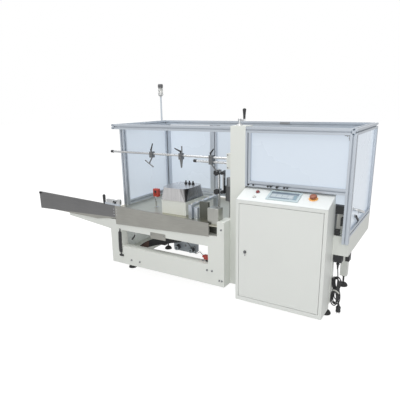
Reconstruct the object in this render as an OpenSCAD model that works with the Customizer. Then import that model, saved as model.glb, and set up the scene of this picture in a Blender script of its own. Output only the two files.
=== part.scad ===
// Case erector: a welded base with a carton magazine on its left, a guarded forming bed,
// a height column with a hand crank, and an electrical cabinet with a sloped console in front.
// Sizes are in millimetres. +X runs along the front to the right, +Y to the back, +Z up.
// The origin is on the floor, under the middle of the machine's outline.

/* [Base] */
// Length of the left bay, from its left end to the partition
frame_l = 1270; // [1100:10:1400]
// Length of the right bay, from the partition to the right end
bay_l = 960; // [900:10:1100]
// Depth of the base, front to back
frame_d = 970; // [900:10:1100]
// Height of the base's underside over the floor
foot_h = 105; // [90:5:140]
// Height of the deck's top over the floor
table_h = 645; // [620:5:680]
// Depth of the base's box sections
tube_d = 80; // [60:5:100]
// Width of the left posts
post_w = 140; // [120:5:160]
// Width of the inner posts beside the partition
inner_post_w = 90; // [70:5:110]
// Height of the front sill under the window
sill_h = 185; // [150:5:200]
// Height of the table over the top of the front's head beam
head_drop = 93; // [80:1:110]
// Height of the head beam over the window
head_h = 97; // [80:1:110]
// Height of the plain beams at the back and the ends
beam_h = 80; // [60:5:100]
// Thickness of the deck plate
deck_t = 8; // [5:1:12]
// Thickness of the left end sheet
end_sheet_t = 3; // [2:1:6]
// Width of the partition beside the column
partition_w = 66; // [50:2:80]
// Height of the partition over the deck
partition_rise = 38; // [25:1:60]
// Width, depth and height of the block beside the partition
side_block = [100, 80, 140];
// Distance of that block from the base's front
side_block_y = 20; // [5:5:40]
// Height of the right bay's beams over the deck
bay_rise = 20; // [10:1:40]
// Height of the right bay's beams
bay_beam_h = 150; // [120:5:170]
// Width of the right bay's beams
bay_beam_w = 60; // [50:5:80]
// Side of the right bay's square legs
leg_w = 60; // [50:2:80]
// Distance from the right end to the middle of the right legs
leg_inset = 140; // [120:5:200]
// Distance from the back to the middle of the rear right leg
rear_leg_inset = 195; // [150:5:260]
// Width, depth and height of the bracket under the right end's beam
end_bracket = [30, 60, 60];

/* [Feet] */
// Diameter of a foot's pad
pad_d = 80; // [60:2:100]
// Height of a foot's domed pad
pad_h = 36; // [25:1:45]
// Height of the pad's straight edge
pad_edge = 8; // [4:1:14]
// Diameter of a foot's screw
stem_d = 16; // [12:1:24]
// Width of the lock nut over its corners
nut_d = 30; // [24:1:36]
// Height of the lock nut
nut_h = 14; // [8:1:18]
// Distance of the left feet from the left end
foot_x = 105; // [60:5:130]
// Distance of the left feet from the front and the back
foot_y = 170; // [120:5:220]

/* [Magazine] */
// Length of the magazine past the base's left end
mag_reach = 1024; // [800:1:1100]
// Distance from the base's left end to the joint of the two front walls
mag_joint = 80; // [60:5:110]
// Gap between the front wall's right end and the partition
mag_gap = 78; // [60:1:100]
// Height of the wall's top over the deck, at its right end
mag_top_right = 17; // [10:1:45]
// Rise of the wall's top along its whole length
mag_rise = 62; // [20:1:80]
// Height of the wall at its right end
mag_h_right = 117; // [100:1:140]
// Height of the wall at the joint
mag_h_joint = 185; // [150:1:200]
// Height of the extension at the joint
ext_h_joint = 118; // [105:1:150]
// Height of the extension at its left end
ext_h_left = 186; // [160:1:220]
// Thickness of the magazine's sheet
mag_t = 4; // [3:1:6]
// Width of the folded rim along the wall's top
rim_w = 14; // [8:1:20]
// Depth of the magazine's floor
mag_floor_d = 300; // [200:10:360]
// Depth of the magazine's floor under the deck's top
mag_floor_drop = 55; // [45:1:70]
// Distance from the extension's left end to the start of the lip under it
lip_start = 200; // [100:10:300]
// Distance from the joint to the lip's lowest place
lip_bend = 250; // [150:10:350]
// Depth of the lip under the extension, at its lowest place and at the joint
lip_depth = [36, 8];
// Length of a cantilever arm
arm_l = 580; // [450:10:700]
// Height of a cantilever arm at its root
arm_h_root = 105; // [90:5:120]
// Height of a cantilever arm at its tip
arm_h_tip = 40; // [30:5:60]
// Thickness of a cantilever arm
arm_t = 40; // [30:2:60]
// Length of the clamp bar over the joint of the walls
bar_l = 190; // [150:5:220]
// Height of the clamp bar
bar_h = 18; // [12:1:24]
// Diameter and height of the magazine's grip
mag_grip = [24, 75];
// Diameter and height of the clamp bar's knob
mag_knob = [26, 16];

/* [Guard] */
// Top of the guard over the floor
guard_h = 1450; // [1420:10:1600]
// Side of the guard's square profile
profile_w = 45; // [40:1:50]
// Width of the mouth of the profile's grooves
groove_w = 10; // [8:1:10]
// Depth of the profile's grooves
groove_d = 12; // [10:1:14]
// Width of a groove behind its lips
pocket_w = 18; // [14:1:20]
// Thickness of a groove's lips
groove_lip = 4; // [3:0.5:5]
// Thickness of the guard's panels
panel_t = 5; // [4:1:6]
// Distance of the guard's front plane from the base's front
guard_y = 110; // [105:5:130]
// Distance of the left front post from the base's front
near_post_y = 220; // [215:5:260]
// Distance of the middle back post from the left end
mid_post_x = 640; // [560:5:720]
// Underside of the front panel's lower rail, over the floor
front_rail_z = 985; // [980:5:1020]

/* [Rear door] */
// Gap round the rear door
door_gap = 6; // [5:1:10]
// Width of the rear door's frame
stile_w = 35; // [30:1:45]
// Thickness of the rear door's frame
stile_t = 30; // [24:1:40]
// Diameter of a hinge knuckle
knuckle_d = 14; // [10:1:18]
// Length of a hinge knuckle
knuckle_l = 40; // [30:2:60]
// Thickness of a hinge leaf
leaf_t = 3; // [2:0.5:4]
// Distance of a leaf from the far edge of its post or stile
leaf_margin = 5; // [3:1:10]
// Distance of each hinge from the door's top and bottom
hinge_inset = 130; // [80:5:200]

/* [Column] */
// Width of the height column
column_w = 132; // [110:1:140]
// Depth of the height column
column_d = 130; // [120:5:150]
// Top of the height column over the floor
column_h = 1455; // [1440:5:1560]
// Thickness of the column's walls
column_wall = 8; // [6:1:10]
// Thickness of the column's cap
cap_t = 20; // [14:1:30]
// Width of the carriage's slot in the column
slot_w = 26; // [20:1:32]
// Travel of the carriage, up and down from the middle
lift_travel = 120; // [80:5:120]
// Free length of the slot past each end of the travel
slot_end = 8; // [6:1:20]
// Running clearance of the carriage's tongue in the slot
tongue_gap = 0.3; // [0.2:0.1:0.5]
// Distance of the lifting screw from the column's left face
screw_x = 42; // [36:1:50]
// Diameter of the lifting screw
screw_d = 20; // [16:1:22]
// Depth of the bearing under the lifting screw
bearing_h = 15; // [10:1:25]
// Side of the nut's block on the screw
nut_block_w = 40; // [34:1:44]
// Height of the nut's block
nut_block_h = 60; // [40:5:80]
// Running clearance of the screw in its nut
nut_gap = 0.3; // [0.2:0.1:0.5]
// Diameter of the crank's shaft
shaft_d = 16; // [12:1:18]
// Running clearance of the crank's shaft and the screw in their bearings
shaft_gap = 0.05; // [0.03:0.01:0.08]
// Height of the crank's hub over the column
crank_lift = 52; // [40:1:60]
// Diameter and height of the crank's hub
crank_hub = [28, 20];
// Width and thickness of the crank's arm
crank_arm = [16, 10];
// Distance from the crank's shaft to its grip
crank_r = 64; // [50:1:70]
// Turn of the crank's arm from the front's direction
crank_turn = -30; // [-180:5:180]
// Length of the crank's grip
grip_l = 80; // [60:2:100]
// Diameter of the crank's grip at its foot and near its top
grip_d = [18, 28];

/* [Upper guides] */
// Height of the long rod over the floor
rod_z = 1184; // [1170:1:1200]
// Diameter of the rods
rod_d = 20; // [16:1:24]
// Length of the long rod past the column
rod_l = 1330; // [1320:5:1400]
// Drop of the short rod under the long one
rod_drop = 38; // [34:1:44]
// Length of the short rod past the column
short_rod_l = 365; // [340:5:420]
// Diameter and length of the rods' end caps
rod_cap = [26, 28];
// Distance of the rods behind the column's front
rod_y = 80; // [70:1:85]
// Width of the carriage along the rods
carriage_w = 54; // [44:2:64]
// Height of the carriage
carriage_h = 130; // [120:5:150]
// Depth of the carriage
carriage_d = 60; // [50:2:70]
// Part of the carriage's height that is under the long rod
carriage_share = 0.66; // [0.6:0.02:0.7]
// Length of a rod's end inside the carriage
rod_seat = 44; // [34:1:48]
// Running gap between the carriage and the column's face
carriage_gap = 6; // [5:1:8]
// Distances of the three rod clamps from the column
clamp_offsets = [860, 532, 222];
// Width of a rod clamp
clamp_w = 34; // [28:1:40]
// Depth of a rod clamp
clamp_d = 40.8; // [36:0.2:48]
// Fitting gap of a clamp on its rod
clamp_gap = 0.2; // [0.1:0.1:0.3]
// Diameter and height of the stem under a clamp's lever
lever_stem = [12, 16];
// Diameter of a lever at its root and its tip
lever_d = [15, 10];
// Diameter of the ball that a lever grows from
lever_ball = 18; // [16:1:22]
// Length of each clamp's lever
lever_l = [62, 66, 48];
// Lean of each clamp's lever from upright, to the right
lever_lean = [20, -68, 40];
// Diameter of the clamps' lower bars
bar_d = 12; // [10:1:16]
// Length of the left and the right clamp's lower bar
lower_bar_l = [70, 80];
// Lean of those bars from straight down, to the right
lower_bar_lean = [-32, 42];
// Length of the left clamp's cross bar
cross_bar_l = 110; // [80:5:130]
// Height of the middle clamp's pin over the rod
pin_h = 84; // [60:2:100]
// Diameter and length of the middle clamp's cone
cone_size = [30, 75];

/* [Forming station] */
// Length of the hood, along the front
hood_l = 275; // [250:5:300]
// Depth of the hood
hood_d = 320; // [280:5:340]
// Distance of the hood's left side from the partition's right face
hood_x = 742; // [720:2:760]
// Distance of the hood's front from the base's front
hood_y = 142; // [130:2:150]
// Height of the hood
hood_h = 116; // [90:2:130]
// Radius of the hood's corners at its foot and at its top
hood_r = [14, 74];
// Height of the hood's pedestal over the deck
pedestal_h = 128; // [100:2:150]
// Depth of the pedestal
pedestal_d = 150; // [120:5:200]
// Distance of the pedestal's sides inside the hood's
pedestal_in = 5; // [2:1:10]
// Length of the flap rail, front to back
rail_l = 480; // [440:5:520]
// Width and height of the flap rail
rail_size = [34, 22];
// Depth of the rail's top under the hood's foot
rail_under = 6; // [2:1:12]
// Distance of the rail's front end before the hood's front
rail_out = 44; // [30:2:60]
// Distance from the flap rail to the hood
rail_gap = 57; // [40:1:70]
// Diameter of the white guide post beside the rail
guide_post_d = 50; // [40:1:56]
// Distance of the guide post from the rail
guide_post_gap = 4; // [2:1:10]
// Width, depth and height of the rail's bracket
rail_bracket_size = [90, 24, 156];
// Distance of that bracket from the guide post
rail_bracket_gap = 8; // [5:1:15]
// Number of suction cups
cups = 3; // [2:1:4]
// Distance between the suction cups
cup_pitch = 40; // [36:1:50]
// Diameter of a cup's bellows at their folds and between them
cup_d = [32, 20];
// Height of one fold of a cup's bellows
fold_h = 7; // [5:1:9]
// Number of folds
folds = 2; // [1:1:3]
// Diameter and height of a cup's stem over its bellows
cup_stem = [14, 16];
// Diameter of the side guide's upright
upright_d = 25; // [20:1:30]
// Height of the side guide's upright over the deck
upright_h = 425; // [415:5:440]
// Distance of the upright from the partition's left face
upright_x = 146; // [140:2:160]
// Distance of the upright from the base's front
upright_y = 300; // [290:5:330]
// Heights of the two clamps over the deck
clamp_heights = [398, 229];
// Diameter of the clamps' cross rods
cross_rod_d = 16; // [12:1:20]
// Thickness, depth and overhang of the plate on the cross rods
guide_plate = [10, 40, 20];
// Diameter and length of the large clamp knobs
knob_size = [50, 22];
// Diameter and length of the small clamp knobs
small_knob_size = [30, 22];
// Diameter and length of a knob's stem
knob_stem = [16, 12];
// Width, depth and height of the red sensor
sensor_size = [62, 40, 78];
// Distance of the sensor's right side from the hood
sensor_gap = 140; // [120:5:170]
// Distance of the sensor's front behind the hood's front
sensor_y = 140; // [120:5:170]
// Height of the sensor over the deck
sensor_z = 105; // [90:5:130]
// Thickness of the sensor's leg
sensor_leg = 12; // [8:1:16]
// Width, depth and height of the red switch on the sill
switch_size = [52, 30, 55];
// Distance of the switch from the back of the sill
switch_gap = 5; // [0:1:20]

/* [Side belts] */
// Length of a belt unit
unit_l = 985; // [940:5:1000]
// Depth of a belt unit
unit_d = 84; // [70:2:100]
// Height of a belt
belt_h = 135; // [110:5:150]
// Underside of the belts over the deck
belt_z = 145; // [120:5:160]
// Height of the cover over a belt
unit_cover_h = 72; // [50:2:80]
// Distance of a cover's edge inside the belt
cover_in = 8; // [4:1:12]
// Distance of the near unit's front from the base's front
near_unit_y = 290; // [285:5:320]
// Free width between the two units
unit_gap = 330; // [280:10:360]
// Length of a unit's foot
unit_foot_l = 40; // [30:2:60]
// Diameter of the outfeed rollers
roller_d = 40; // [30:1:50]
// Number of outfeed rollers
rollers = 7; // [5:1:8]
// Distance between the outfeed rollers
roller_pitch = 85; // [75:1:90]
// Distance from the column to the first roller
roller_start = 70; // [55:5:90]

/* [Under the bed] */
// Distance of the cross rail behind the guard's front plane
cross_gap = 90; // [70:5:120]
// Start of the belt guard, from the window's lower left corner
guard_start = [4, -95];
// Bend of the belt guard's upper edge, from the same corner
guard_bend = [190, 100];
// End of the belt guard, from the same corner
guard_end = [545, 84];
// Greatest height of the belt guard
belt_guard_h = 60; // [40:2:80]
// Height of the belt guard's end
guard_end_h = 18; // [10:1:30]
// Thickness of the belt guard
belt_guard_t = 40; // [30:2:60]
// Width of the belt guard's hanger
hanger_w = 60; // [40:5:80]
// Distance from the window's left end to that hanger
hanger_x = 310; // [280:5:340]
// Distance from the window's left end to the tape head
tape_x = 440; // [400:5:480]
// Length and thickness of the tape head's plate
tape_plate = [280, 8];
// Depth of the tape head's plate under the sill's top
tape_drop = 38; // [20:2:60]
// Size of the corners cut from the plate's foot
tape_cut = 30; // [15:1:40]
// Diameter and length of the tape head's rollers
tape_roller = [46, 50];
// Distance of the rollers from the plate's lower corners
tape_inset = [60, 40];

/* [Cabinet] */
// Width of the cabinet
cab_w = 710; // [650:5:760]
// Height of the cabinet's underside over the floor
cab_z = 60; // [40:5:100]
// Height of the cabinet's front, up to the console
cab_h = 846; // [820:2:860]
// Rise of the console from front to back
console_rise = 72; // [50:1:75]
// Distance of the cabinet's left side from the partition's right face
cab_x = 135; // [133:1:160]
// Distance of the cabinet's front before the base's front
cab_out = 52; // [45:1:60]
// Thickness of the cabinet's walls
cab_t = 4; // [3:1:6]
// Width of the rim round the door
cab_rim = 25; // [20:1:30]
// Extra height of the rim under the door
plinth_h = 10; // [5:1:20]
// Gap round the cabinet's door
cab_door_gap = 3; // [2:0.5:5]
// Thickness of the cabinet's door
cab_door_t = 20; // [16:1:24]
// Width of the solid edge with the door's pivots
pivot_edge = 20; // [18:1:26]
// Diameter of a door pivot
pivot_d = 6; // [5:0.5:8]
// Length of a door pivot
pivot_l = 18; // [12:1:24]
// Distance of the pivots from the opening's edge
pivot_in = 11; // [9:0.5:13]
// Distance of the pivots behind the cabinet's front
pivot_back = 5; // [4.5:0.5:7]
// Distance of the door's latch from the opening's edge
latch_x = 56; // [40:2:80]
// Diameter and thickness of the latch's plate
latch_plate = [26, 4];
// Width, thickness and height of the latch's grip
latch_grip = [10, 8, 22];
// Distance of the mounting plate from the cabinet's sides
plate_in = 50; // [30:5:80]
// Thickness of the mounting plate
plate_t = 3; // [2:0.5:4]
// Thickness of the console's plate
console_t = 4; // [3:1:6]
// Width of the touch screen
screen_w = 250; // [220:5:270]
// Depth of the touch screen, up the slope
screen_l = 130; // [110:5:150]
// Thickness of the touch screen's bezel
screen_t = 6; // [4:1:10]
// Width of the bezel round the display
screen_rim = 16; // [10:1:24]
// Depth of the display in its bezel
screen_recess = 2; // [1:0.5:4]
// Place of the touch screen's lower left corner on the console
screen_at = [225, 45];
// Distance of the emergency stop from the console's right edge
stop_in = 140; // [120:5:180]
// Distance of the emergency stop above the console's middle
stop_up = 10; // [0:1:30]
// Diameter and thickness of the emergency stop's collar
stop_collar = [66, 6];
// Diameter and height of the emergency stop's neck
stop_neck = [26, 14];
// Diameter and height of the emergency stop's head
stop_head = [42, 14];
// Distance of the buttons from the console's left edge
button_x = 130; // [110:5:150]
// Distances of the two buttons from the console's middle, up the slope
button_ups = [20, -50];
// Diameters of the two buttons
button_ds = [30, 24];
// Heights of the two buttons
button_hs = [14, 10];

/* [Right end] */
// Width, depth and height of the upper connector box
upper_box = [73, 45, 60];
// Width, depth and height of the lower connector box
lower_box = [35, 45, 60];
// Width, depth and height of the box on the bay's beam
beam_box = [36, 40, 40];
// Distance that the connector boxes reach behind their post
box_lap = 7; // [5:1:12]
// Heights of the connector boxes over the bay's beams
box_zs = [170, 80];
// Distance from the right post to the box on the beam
beam_box_gap = 34; // [25:1:50]
// Distance of that box behind the beam's front
beam_box_y = 8; // [5:1:15]

/* [Lamp] */
// Diameter of the alarm lamp
lamp_d = 56; // [45:1:70]
// Height of the alarm lamp
lamp_h = 130; // [100:5:150]
// Height of the lamp's base: its widening foot and its straight ring
lamp_base = [14, 14];
// Height of the lamp's cap
lamp_cap = 38; // [30:1:45]
// Bevel round the cap's top
cap_bevel = 8; // [4:1:12]
// Depth of the clear body inside the base and the cap
lens_in = 2.5; // [1:0.5:5]
// Diameter of the lamp's pole
pole_d = 18; // [14:1:22]
// Length of the pole over the guard
pole_l = 255; // [200:5:300]
// Distance of the lamp's pole from the left end and from the back
lamp_at = [34, 12];

/* [Mains lead] */
// Diameter of the lead
lead_d = 8; // [7:0.5:8]
// Distance of the lead's box from the right legs' middle
gland_gap = 66; // [62:1:72]
// Width and height of the lead's box
gland_box = [60, 60];
// Diameter and length of the lead's gland
gland_size = [20, 30];
// Points of the lead from its gland down to the hank, as [x, z] from the gland's mouth
drop_points = [[0, 0], [0, -18], [3, -36], [9, -54], [15, -72], [18, -88], [19, -104]];
// Points of the lead from the hank's side down to the plug, as [x, z] from where it leaves
tail_points = [[0, 0], [0, -18], [0, -36], [1, -54], [2, -70], [2, -86]];
// Distance of the hank's middle to the left of the gland
hank_left = 5; // [2:1:6]
// Height of the hank's lower end over the floor
hank_low = 90; // [80:1:100]
// Height of the hank
hank_h = 240; // [220:5:250]
// Width and thickness of the hank
hank_size = [56, 34];
// Height at which the tail leaves the hank
tail_top = 190; // [170:5:200]
// Diameter of the plug's neck and of its body
plug_d = [14, 38];
// Length of the plug's neck and of its body
plug_l = [22, 44];

/* [Hidden] */
$fn = 48;
// A cut runs this far past a face
past = 1;
// Sides of the lead's tube
tube_sides = 10;
// Steps along a drawn curve
curve_steps = 16;
// Number of a knob's lobes, and the place and size of the scallops between them, as shares of its diameter
lobes = 6;
scallop_at = 0.6;
scallop_d = 0.34;

// Edges of the base along X, Y and Z
left_x = -frame_l;
right_x = bay_l;
back_y = frame_d;
sill_top = foot_h + sill_h;
head_top = table_h - head_drop;
head_low = head_top - head_h;
deck_low = table_h - deck_t;
partition_x = -partition_w;
partition_top = table_h + partition_rise;
inner_x = partition_x - inner_post_w;
left_post = [left_x, left_x + post_w];
inner_post = [inner_x, partition_x];
window_x = [left_post[1], inner_x];
front_tube = [0, tube_d];
back_tube = [back_y - tube_d, back_y];
between_y = [tube_d, back_y - tube_d];
// The column stands beside the partition, with its front in the guard's front plane
column_x = [0, column_w];
guard_back_y = guard_y + profile_w;
column_y = [guard_y, guard_y + column_d];
// The right bay's beams and legs
bay_top = table_h + bay_rise;
bay_low = bay_top - bay_beam_h;
bay_front = [guard_back_y, guard_back_y + bay_beam_w];
bay_back = [back_y - bay_beam_w, back_y];
bay_between = [bay_front[1], bay_back[0]];
leg_x = right_x - leg_inset;
leg_span = [leg_x - leg_w / 2, leg_x + leg_w / 2];
rear_leg_y = back_y - rear_leg_inset;
front_leg_y = (bay_front[0] + bay_front[1]) / 2;
// The cross rail under the deck, which carries the belt guard and the tape head
cross_y = [guard_y + cross_gap, guard_y + cross_gap + leg_w];
cross_low = head_top - beam_h;
// The guard
rail_low = guard_h - profile_w;
guard_right = [right_x - profile_w, right_x];
guard_left = [left_x, left_x + profile_w];
guard_front = [guard_y, guard_back_y];
guard_back = [back_y - profile_w, back_y];
near_post = [near_post_y, near_post_y + profile_w];
mid_post = [left_x + mid_post_x, left_x + mid_post_x + profile_w];
// The rear door fills the back between the left corner post and the middle post
door_x = [guard_left[1] + door_gap, mid_post[0] - door_gap];
door_z = [table_h + profile_w + door_gap, rail_low - door_gap];
door_y = [back_y - stile_t, back_y];
door_inner_x = [door_x[0] + stile_w, door_x[1] - stile_w];
door_inner_z = [door_z[0] + stile_w, door_z[1] - stile_w];
hinge_x = guard_left[1];
hinge_y = back_y + knuckle_d / 2 + past;
hinge_zs = [door_z[0] + hinge_inset, door_z[1] - hinge_inset];
// The magazine's walls slope along their edges
mag_left = left_x - mag_reach;
mag_right = partition_x - mag_gap;
mag_joint_x = left_x + mag_joint;
mag_slope = mag_rise / (mag_right - mag_left);
mag_floor_z = table_h - mag_floor_drop;
function mag_top(x) = table_h + mag_top_right + (mag_right - x) * mag_slope;
function ext_share(x) = (x - mag_left) / (mag_joint_x - mag_left);
function ext_low(x) = mag_top(x) - ext_h_left + (ext_h_left - ext_h_joint) * ext_share(x);
bar_x = [mag_joint_x - 2 * bar_l / 3, mag_joint_x + bar_l / 3];
// The lifting screw, the carriage and its rods
rods_y = column_y[0] + rod_y;
carriage_x = [-carriage_gap - carriage_w, -carriage_gap];
carriage_y = [rods_y - carriage_d / 2, rods_y + carriage_d / 2];
carriage_z = [rod_z - carriage_h * carriage_share, rod_z + carriage_h * (1 - carriage_share)];
carriage_mid_z = (carriage_z[0] + carriage_z[1]) / 2;
slot_z = [carriage_z[0] - lift_travel - slot_end, carriage_z[1] + lift_travel + slot_end];
cap_low = column_h - cap_t;
cavity_low = slot_z[0] - slot_end;
crank_top = column_h + crank_lift;
rod_end = carriage_x[0] + rod_seat;
rod_left = -rod_l - carriage_gap;
short_rod_left = -short_rod_l - carriage_gap;
short_rod_z = rod_z - rod_drop;
clamp_xs = [for (offset = clamp_offsets) -offset];
clamp_half = clamp_d / 2;
clamp_top = rod_z + clamp_half;
clamp_low = rod_z - clamp_w;
// The forming station
hood_box_x = [-hood_x, -hood_x + hood_l];
hood_box_y = [hood_y, hood_y + hood_d];
hood_low = table_h + pedestal_h;
hood_top = hood_low + hood_h;
rail_x = [hood_box_x[1] + rail_gap, hood_box_x[1] + rail_gap + rail_size[0]];
rail_y = [hood_y - rail_out, hood_y - rail_out + rail_l];
rail_z = [hood_low - rail_under - rail_size[1], hood_low - rail_under];
guide_post_x = rail_x[1] + guide_post_gap + guide_post_d / 2;
bracket_x = guide_post_x + guide_post_d / 2 + rail_bracket_gap;
sensor_x = hood_box_x[0] - sensor_gap;
upright_px = partition_x - upright_x;
clamp_zs = [for (height = clamp_heights) table_h + height];
// The side belts
unit_right = leg_span[1] - unit_foot_l / 2;
unit_left = unit_right - unit_l;
unit_ys = [near_unit_y, near_unit_y + unit_d + unit_gap];
unit_z = table_h + belt_z;
// The cabinet
cab_right = cab_x + cab_w;
cab_front = -cab_out;
cab_back = guard_back_y;
cab_d = cab_back - cab_front;
cab_top = cab_z + cab_h;
slope = atan(console_rise / cab_d);
cab_door_x = [cab_x + cab_rim, cab_right - cab_rim];
cab_door_z = [cab_z + cab_rim + plinth_h, cab_top - cab_rim];
cab_hinge_x = cab_door_x[1] - pivot_in;
cab_hinge_y = cab_front + pivot_back;
console_l = sqrt(cab_d * cab_d + console_rise * console_rise);
console_mid = console_l / 2;
// The lamp
lamp_x = left_x - lamp_at[0];
lamp_y = back_y - lamp_at[1];
// The mains lead hangs from a box under the right bay's front beam
gland_x = leg_x + gland_gap;
lead_y = (bay_front[0] + bay_front[1]) / 2;
gland_low = bay_low - gland_box[1] - gland_size[1];
hank_x = gland_x - hank_left;
drop_route = [for (point = drop_points) [gland_x + point[0], lead_y, gland_low + point[1]]];
tail_x = hank_x + (hank_size[0] + lead_d) / 2;
tail_route = [for (point = tail_points) [tail_x + point[0], lead_y, tail_top + point[1]]];
plug_at = tail_route[len(tail_route) - 1];
// Middle of the outline, which the origin lies under
mid_x = (mag_left + right_x) / 2;
mid_y = (cab_front - latch_plate[1] - latch_grip[1] + hinge_y + knuckle_d / 2) / 2;

paint = [0.86, 0.87, 0.84];
stainless = [0.66, 0.66, 0.64];
dark_sheet = [0.45, 0.45, 0.45];
bare_aluminium = [0.74, 0.75, 0.77];
cast_grey = [0.55, 0.56, 0.57];
pale_blue = [0.80, 0.84, 0.90, 0.7];
sheet_blue = [0.72, 0.77, 0.80];
screen_blue = [0.60, 0.68, 0.76];
lamp_grey = [0.82, 0.83, 0.84];
console_white = [0.93, 0.94, 0.93];
black = [0.10, 0.10, 0.11];
signal_red = [0.75, 0.18, 0.14];

// Moves a piece drawn from the base's front corner to the part's own frame
module placed() {
    translate([-mid_x, -mid_y, 0]) children();
}

// A box between two values on each axis
module block(x, y, z) {
    translate([x[0], y[0], z[0]]) cube([x[1] - x[0], y[1] - y[0], z[1] - z[0]]);
}

// A box of three sizes with its low corner at a place
module box_at(corner, size) {
    translate(corner) cube(size);
}

module rod_along_x(d, x, y, z) {
    translate([x[0], y, z]) rotate([0, 90, 0]) cylinder(d = d, h = x[1] - x[0]);
}

module rod_along_y(d, x, y, z) {
    translate([x, y[0], z]) rotate([-90, 0, 0]) cylinder(d = d, h = y[1] - y[0]);
}

module rod_along_z(d, x, y, z) {
    translate([x, y, z[0]]) cylinder(d = d, h = z[1] - z[0]);
}

// A tapered rod that leans to the right from upright
module leaning_rod(d, l, lean) {
    rotate([0, lean, 0]) cylinder(d1 = d[0], d2 = d[1], h = l);
}

// Cross-section of the guard's profile: a square with an undercut groove in each side
module profile_section() {
    difference() {
        square(profile_w, center = true);
        for (turn = [0:90:270])
            rotate(turn) {
                translate([profile_w / 2 - groove_d, -groove_w / 2]) square([groove_d + past, groove_w]);
                translate([profile_w / 2 - groove_d, -pocket_w / 2]) square([groove_d - groove_lip, pocket_w]);
            }
    }
}

// Lengths of the profile, each between two values on its own axis and at a corner on the others
module profile_along_x(x, y, z) {
    translate([x[0], y + profile_w / 2, z + profile_w / 2])
        rotate([90, 0, 90])
            linear_extrude(x[1] - x[0]) profile_section();
}

module profile_along_y(x, y, z) {
    translate([x + profile_w / 2, y[1], z + profile_w / 2])
        rotate([90, 0, 0])
            linear_extrude(y[1] - y[0]) profile_section();
}

module profile_along_z(x, y, z) {
    translate([x + profile_w / 2, y + profile_w / 2, z[0]])
        linear_extrude(z[1] - z[0]) profile_section();
}

// A plate drawn as an outline in XZ, with its front at y
module upright_plate(outline, y, t) {
    translate([0, y + t, 0]) rotate([90, 0, 0]) linear_extrude(t) polygon(outline);
}

// A bar with two round ends, drawn along X from the origin
module round_ended(l, w) {
    translate([w / 2, 0]) square([l - w, w]);
    for (x = [w / 2, l - w / 2]) translate([x, w / 2]) circle(d = w);
}

// A rectangle with round corners, from the origin
module round_cornered(l, w, r) {
    translate([r, 0]) square([l - 2 * r, w]);
    translate([0, r]) square([l, w - 2 * r]);
    for (x = [r, l - r], y = [r, w - r]) translate([x, y]) circle(r = r);
}

// A knob's outline: a circle with a scallop between its lobes
module lobed(d) {
    difference() {
        circle(d = d);
        for (turn = [0:360 / lobes:359]) rotate(turn) translate([d * scallop_at, 0]) circle(d = d * scallop_d);
    }
}

// Points of a curve from a to c that bends towards b
function curve(a, b, c) = [
    for (i = [0:curve_steps])
        let (u = i / curve_steps)
            (1 - u) * (1 - u) * a + 2 * u * (1 - u) * b + u * u * c
];
// The same points from the end to the start
function backwards(points) = [for (i = [len(points) - 1:-1:0]) points[i]];

module base_posts() color(paint) placed() {
    for (y = [front_tube, back_tube]) {
        block(left_post, y, [foot_h, head_top]);
        block(inner_post, y, [foot_h, head_top]);
    }
    for (y = [front_leg_y, rear_leg_y])
        block(leg_span, [y - leg_w / 2, y + leg_w / 2], [foot_h, bay_low]);
}

module front_beams() color(paint) placed() {
    block(window_x, front_tube, [foot_h, sill_top]);
    block(window_x, front_tube, [head_low, head_top]);
}

module back_beams() color(paint) placed() {
    block(window_x, back_tube, [foot_h, foot_h + beam_h]);
    block(window_x, back_tube, [cross_low, head_top]);
    block(window_x, cross_y, [cross_low, head_top]);
}

module end_beams() color(paint) placed() {
    for (x = [left_post, inner_post]) {
        block(x, between_y, [foot_h, foot_h + beam_h]);
        block(x, between_y, [cross_low, head_top]);
        block([x[0], x[0] + leg_w], [tube_d, back_y], [head_top, deck_low]);
    }
    block(leg_span, bay_between, [bay_low, bay_top]);
    block([right_x - bay_beam_w, right_x], bay_between, [bay_low, bay_top]);
}

module bay_beams() color(paint) placed() {
    block([column_x[1], right_x], bay_front, [bay_low, bay_top]);
    block([partition_x, right_x], bay_back, [bay_low, bay_top]);
}

module left_end_panel() color(sheet_blue) placed() {
    block([left_x + end_sheet_t, left_x + 2 * end_sheet_t], between_y, [foot_h + beam_h, cross_low]);
}

// The partition, and the lower block beside it on the deck
module partition() color(paint) placed() {
    block([partition_x, 0], [0, guard_back_y], [foot_h, partition_top]);
    box_at([partition_x - side_block[0], side_block_y, table_h], side_block);
}

module table_deck() color(stainless) placed() {
    block([left_x, partition_x], [0, back_y], [deck_low, table_h]);
}

// A levelling foot: a domed pad, a screw and a lock nut under the frame
module foot(x, y, top) {
    dome_h = pad_h - pad_edge;
    dome_r = (pad_d * pad_d / 4 + dome_h * dome_h) / (2 * dome_h);
    translate([x, y, 0]) {
        cylinder(d = pad_d, h = pad_edge);
        rotate_extrude()
            intersection() {
                translate([0, pad_h - dome_r]) circle(r = dome_r);
                translate([0, pad_edge]) square([pad_d / 2, dome_h]);
            }
        cylinder(d = stem_d, h = top);
        translate([0, 0, top - nut_h]) cylinder(d = nut_d, h = nut_h, $fn = 6);
    }
}

module levelling_feet() color(black) placed() {
    for (y = [foot_y, back_y - foot_y]) foot(left_x + foot_x, y, foot_h);
    for (y = [front_leg_y, rear_leg_y]) foot(leg_x, y, foot_h);
}

// A sheet wall with sloped edges and a rim folded to the back along its top
module sheet_wall(x, low, top) {
    upright_plate([[x[0], low[0]], [x[1], low[1]], [x[1], top[1]], [x[0], top[0]]], -mag_t, mag_t);
    upright_plate(
        [[x[0], top[0] - mag_t], [x[1], top[1] - mag_t], [x[1], top[1]], [x[0], top[0]]], -mag_t, rim_w
    );
}

module magazine_wall() color(stainless) placed() {
    x = [mag_joint_x, mag_right];
    top = [mag_top(x[0]), mag_top(x[1])];
    sheet_wall(x, [top[0] - mag_h_joint, top[1] - mag_h_right], top);
}

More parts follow.
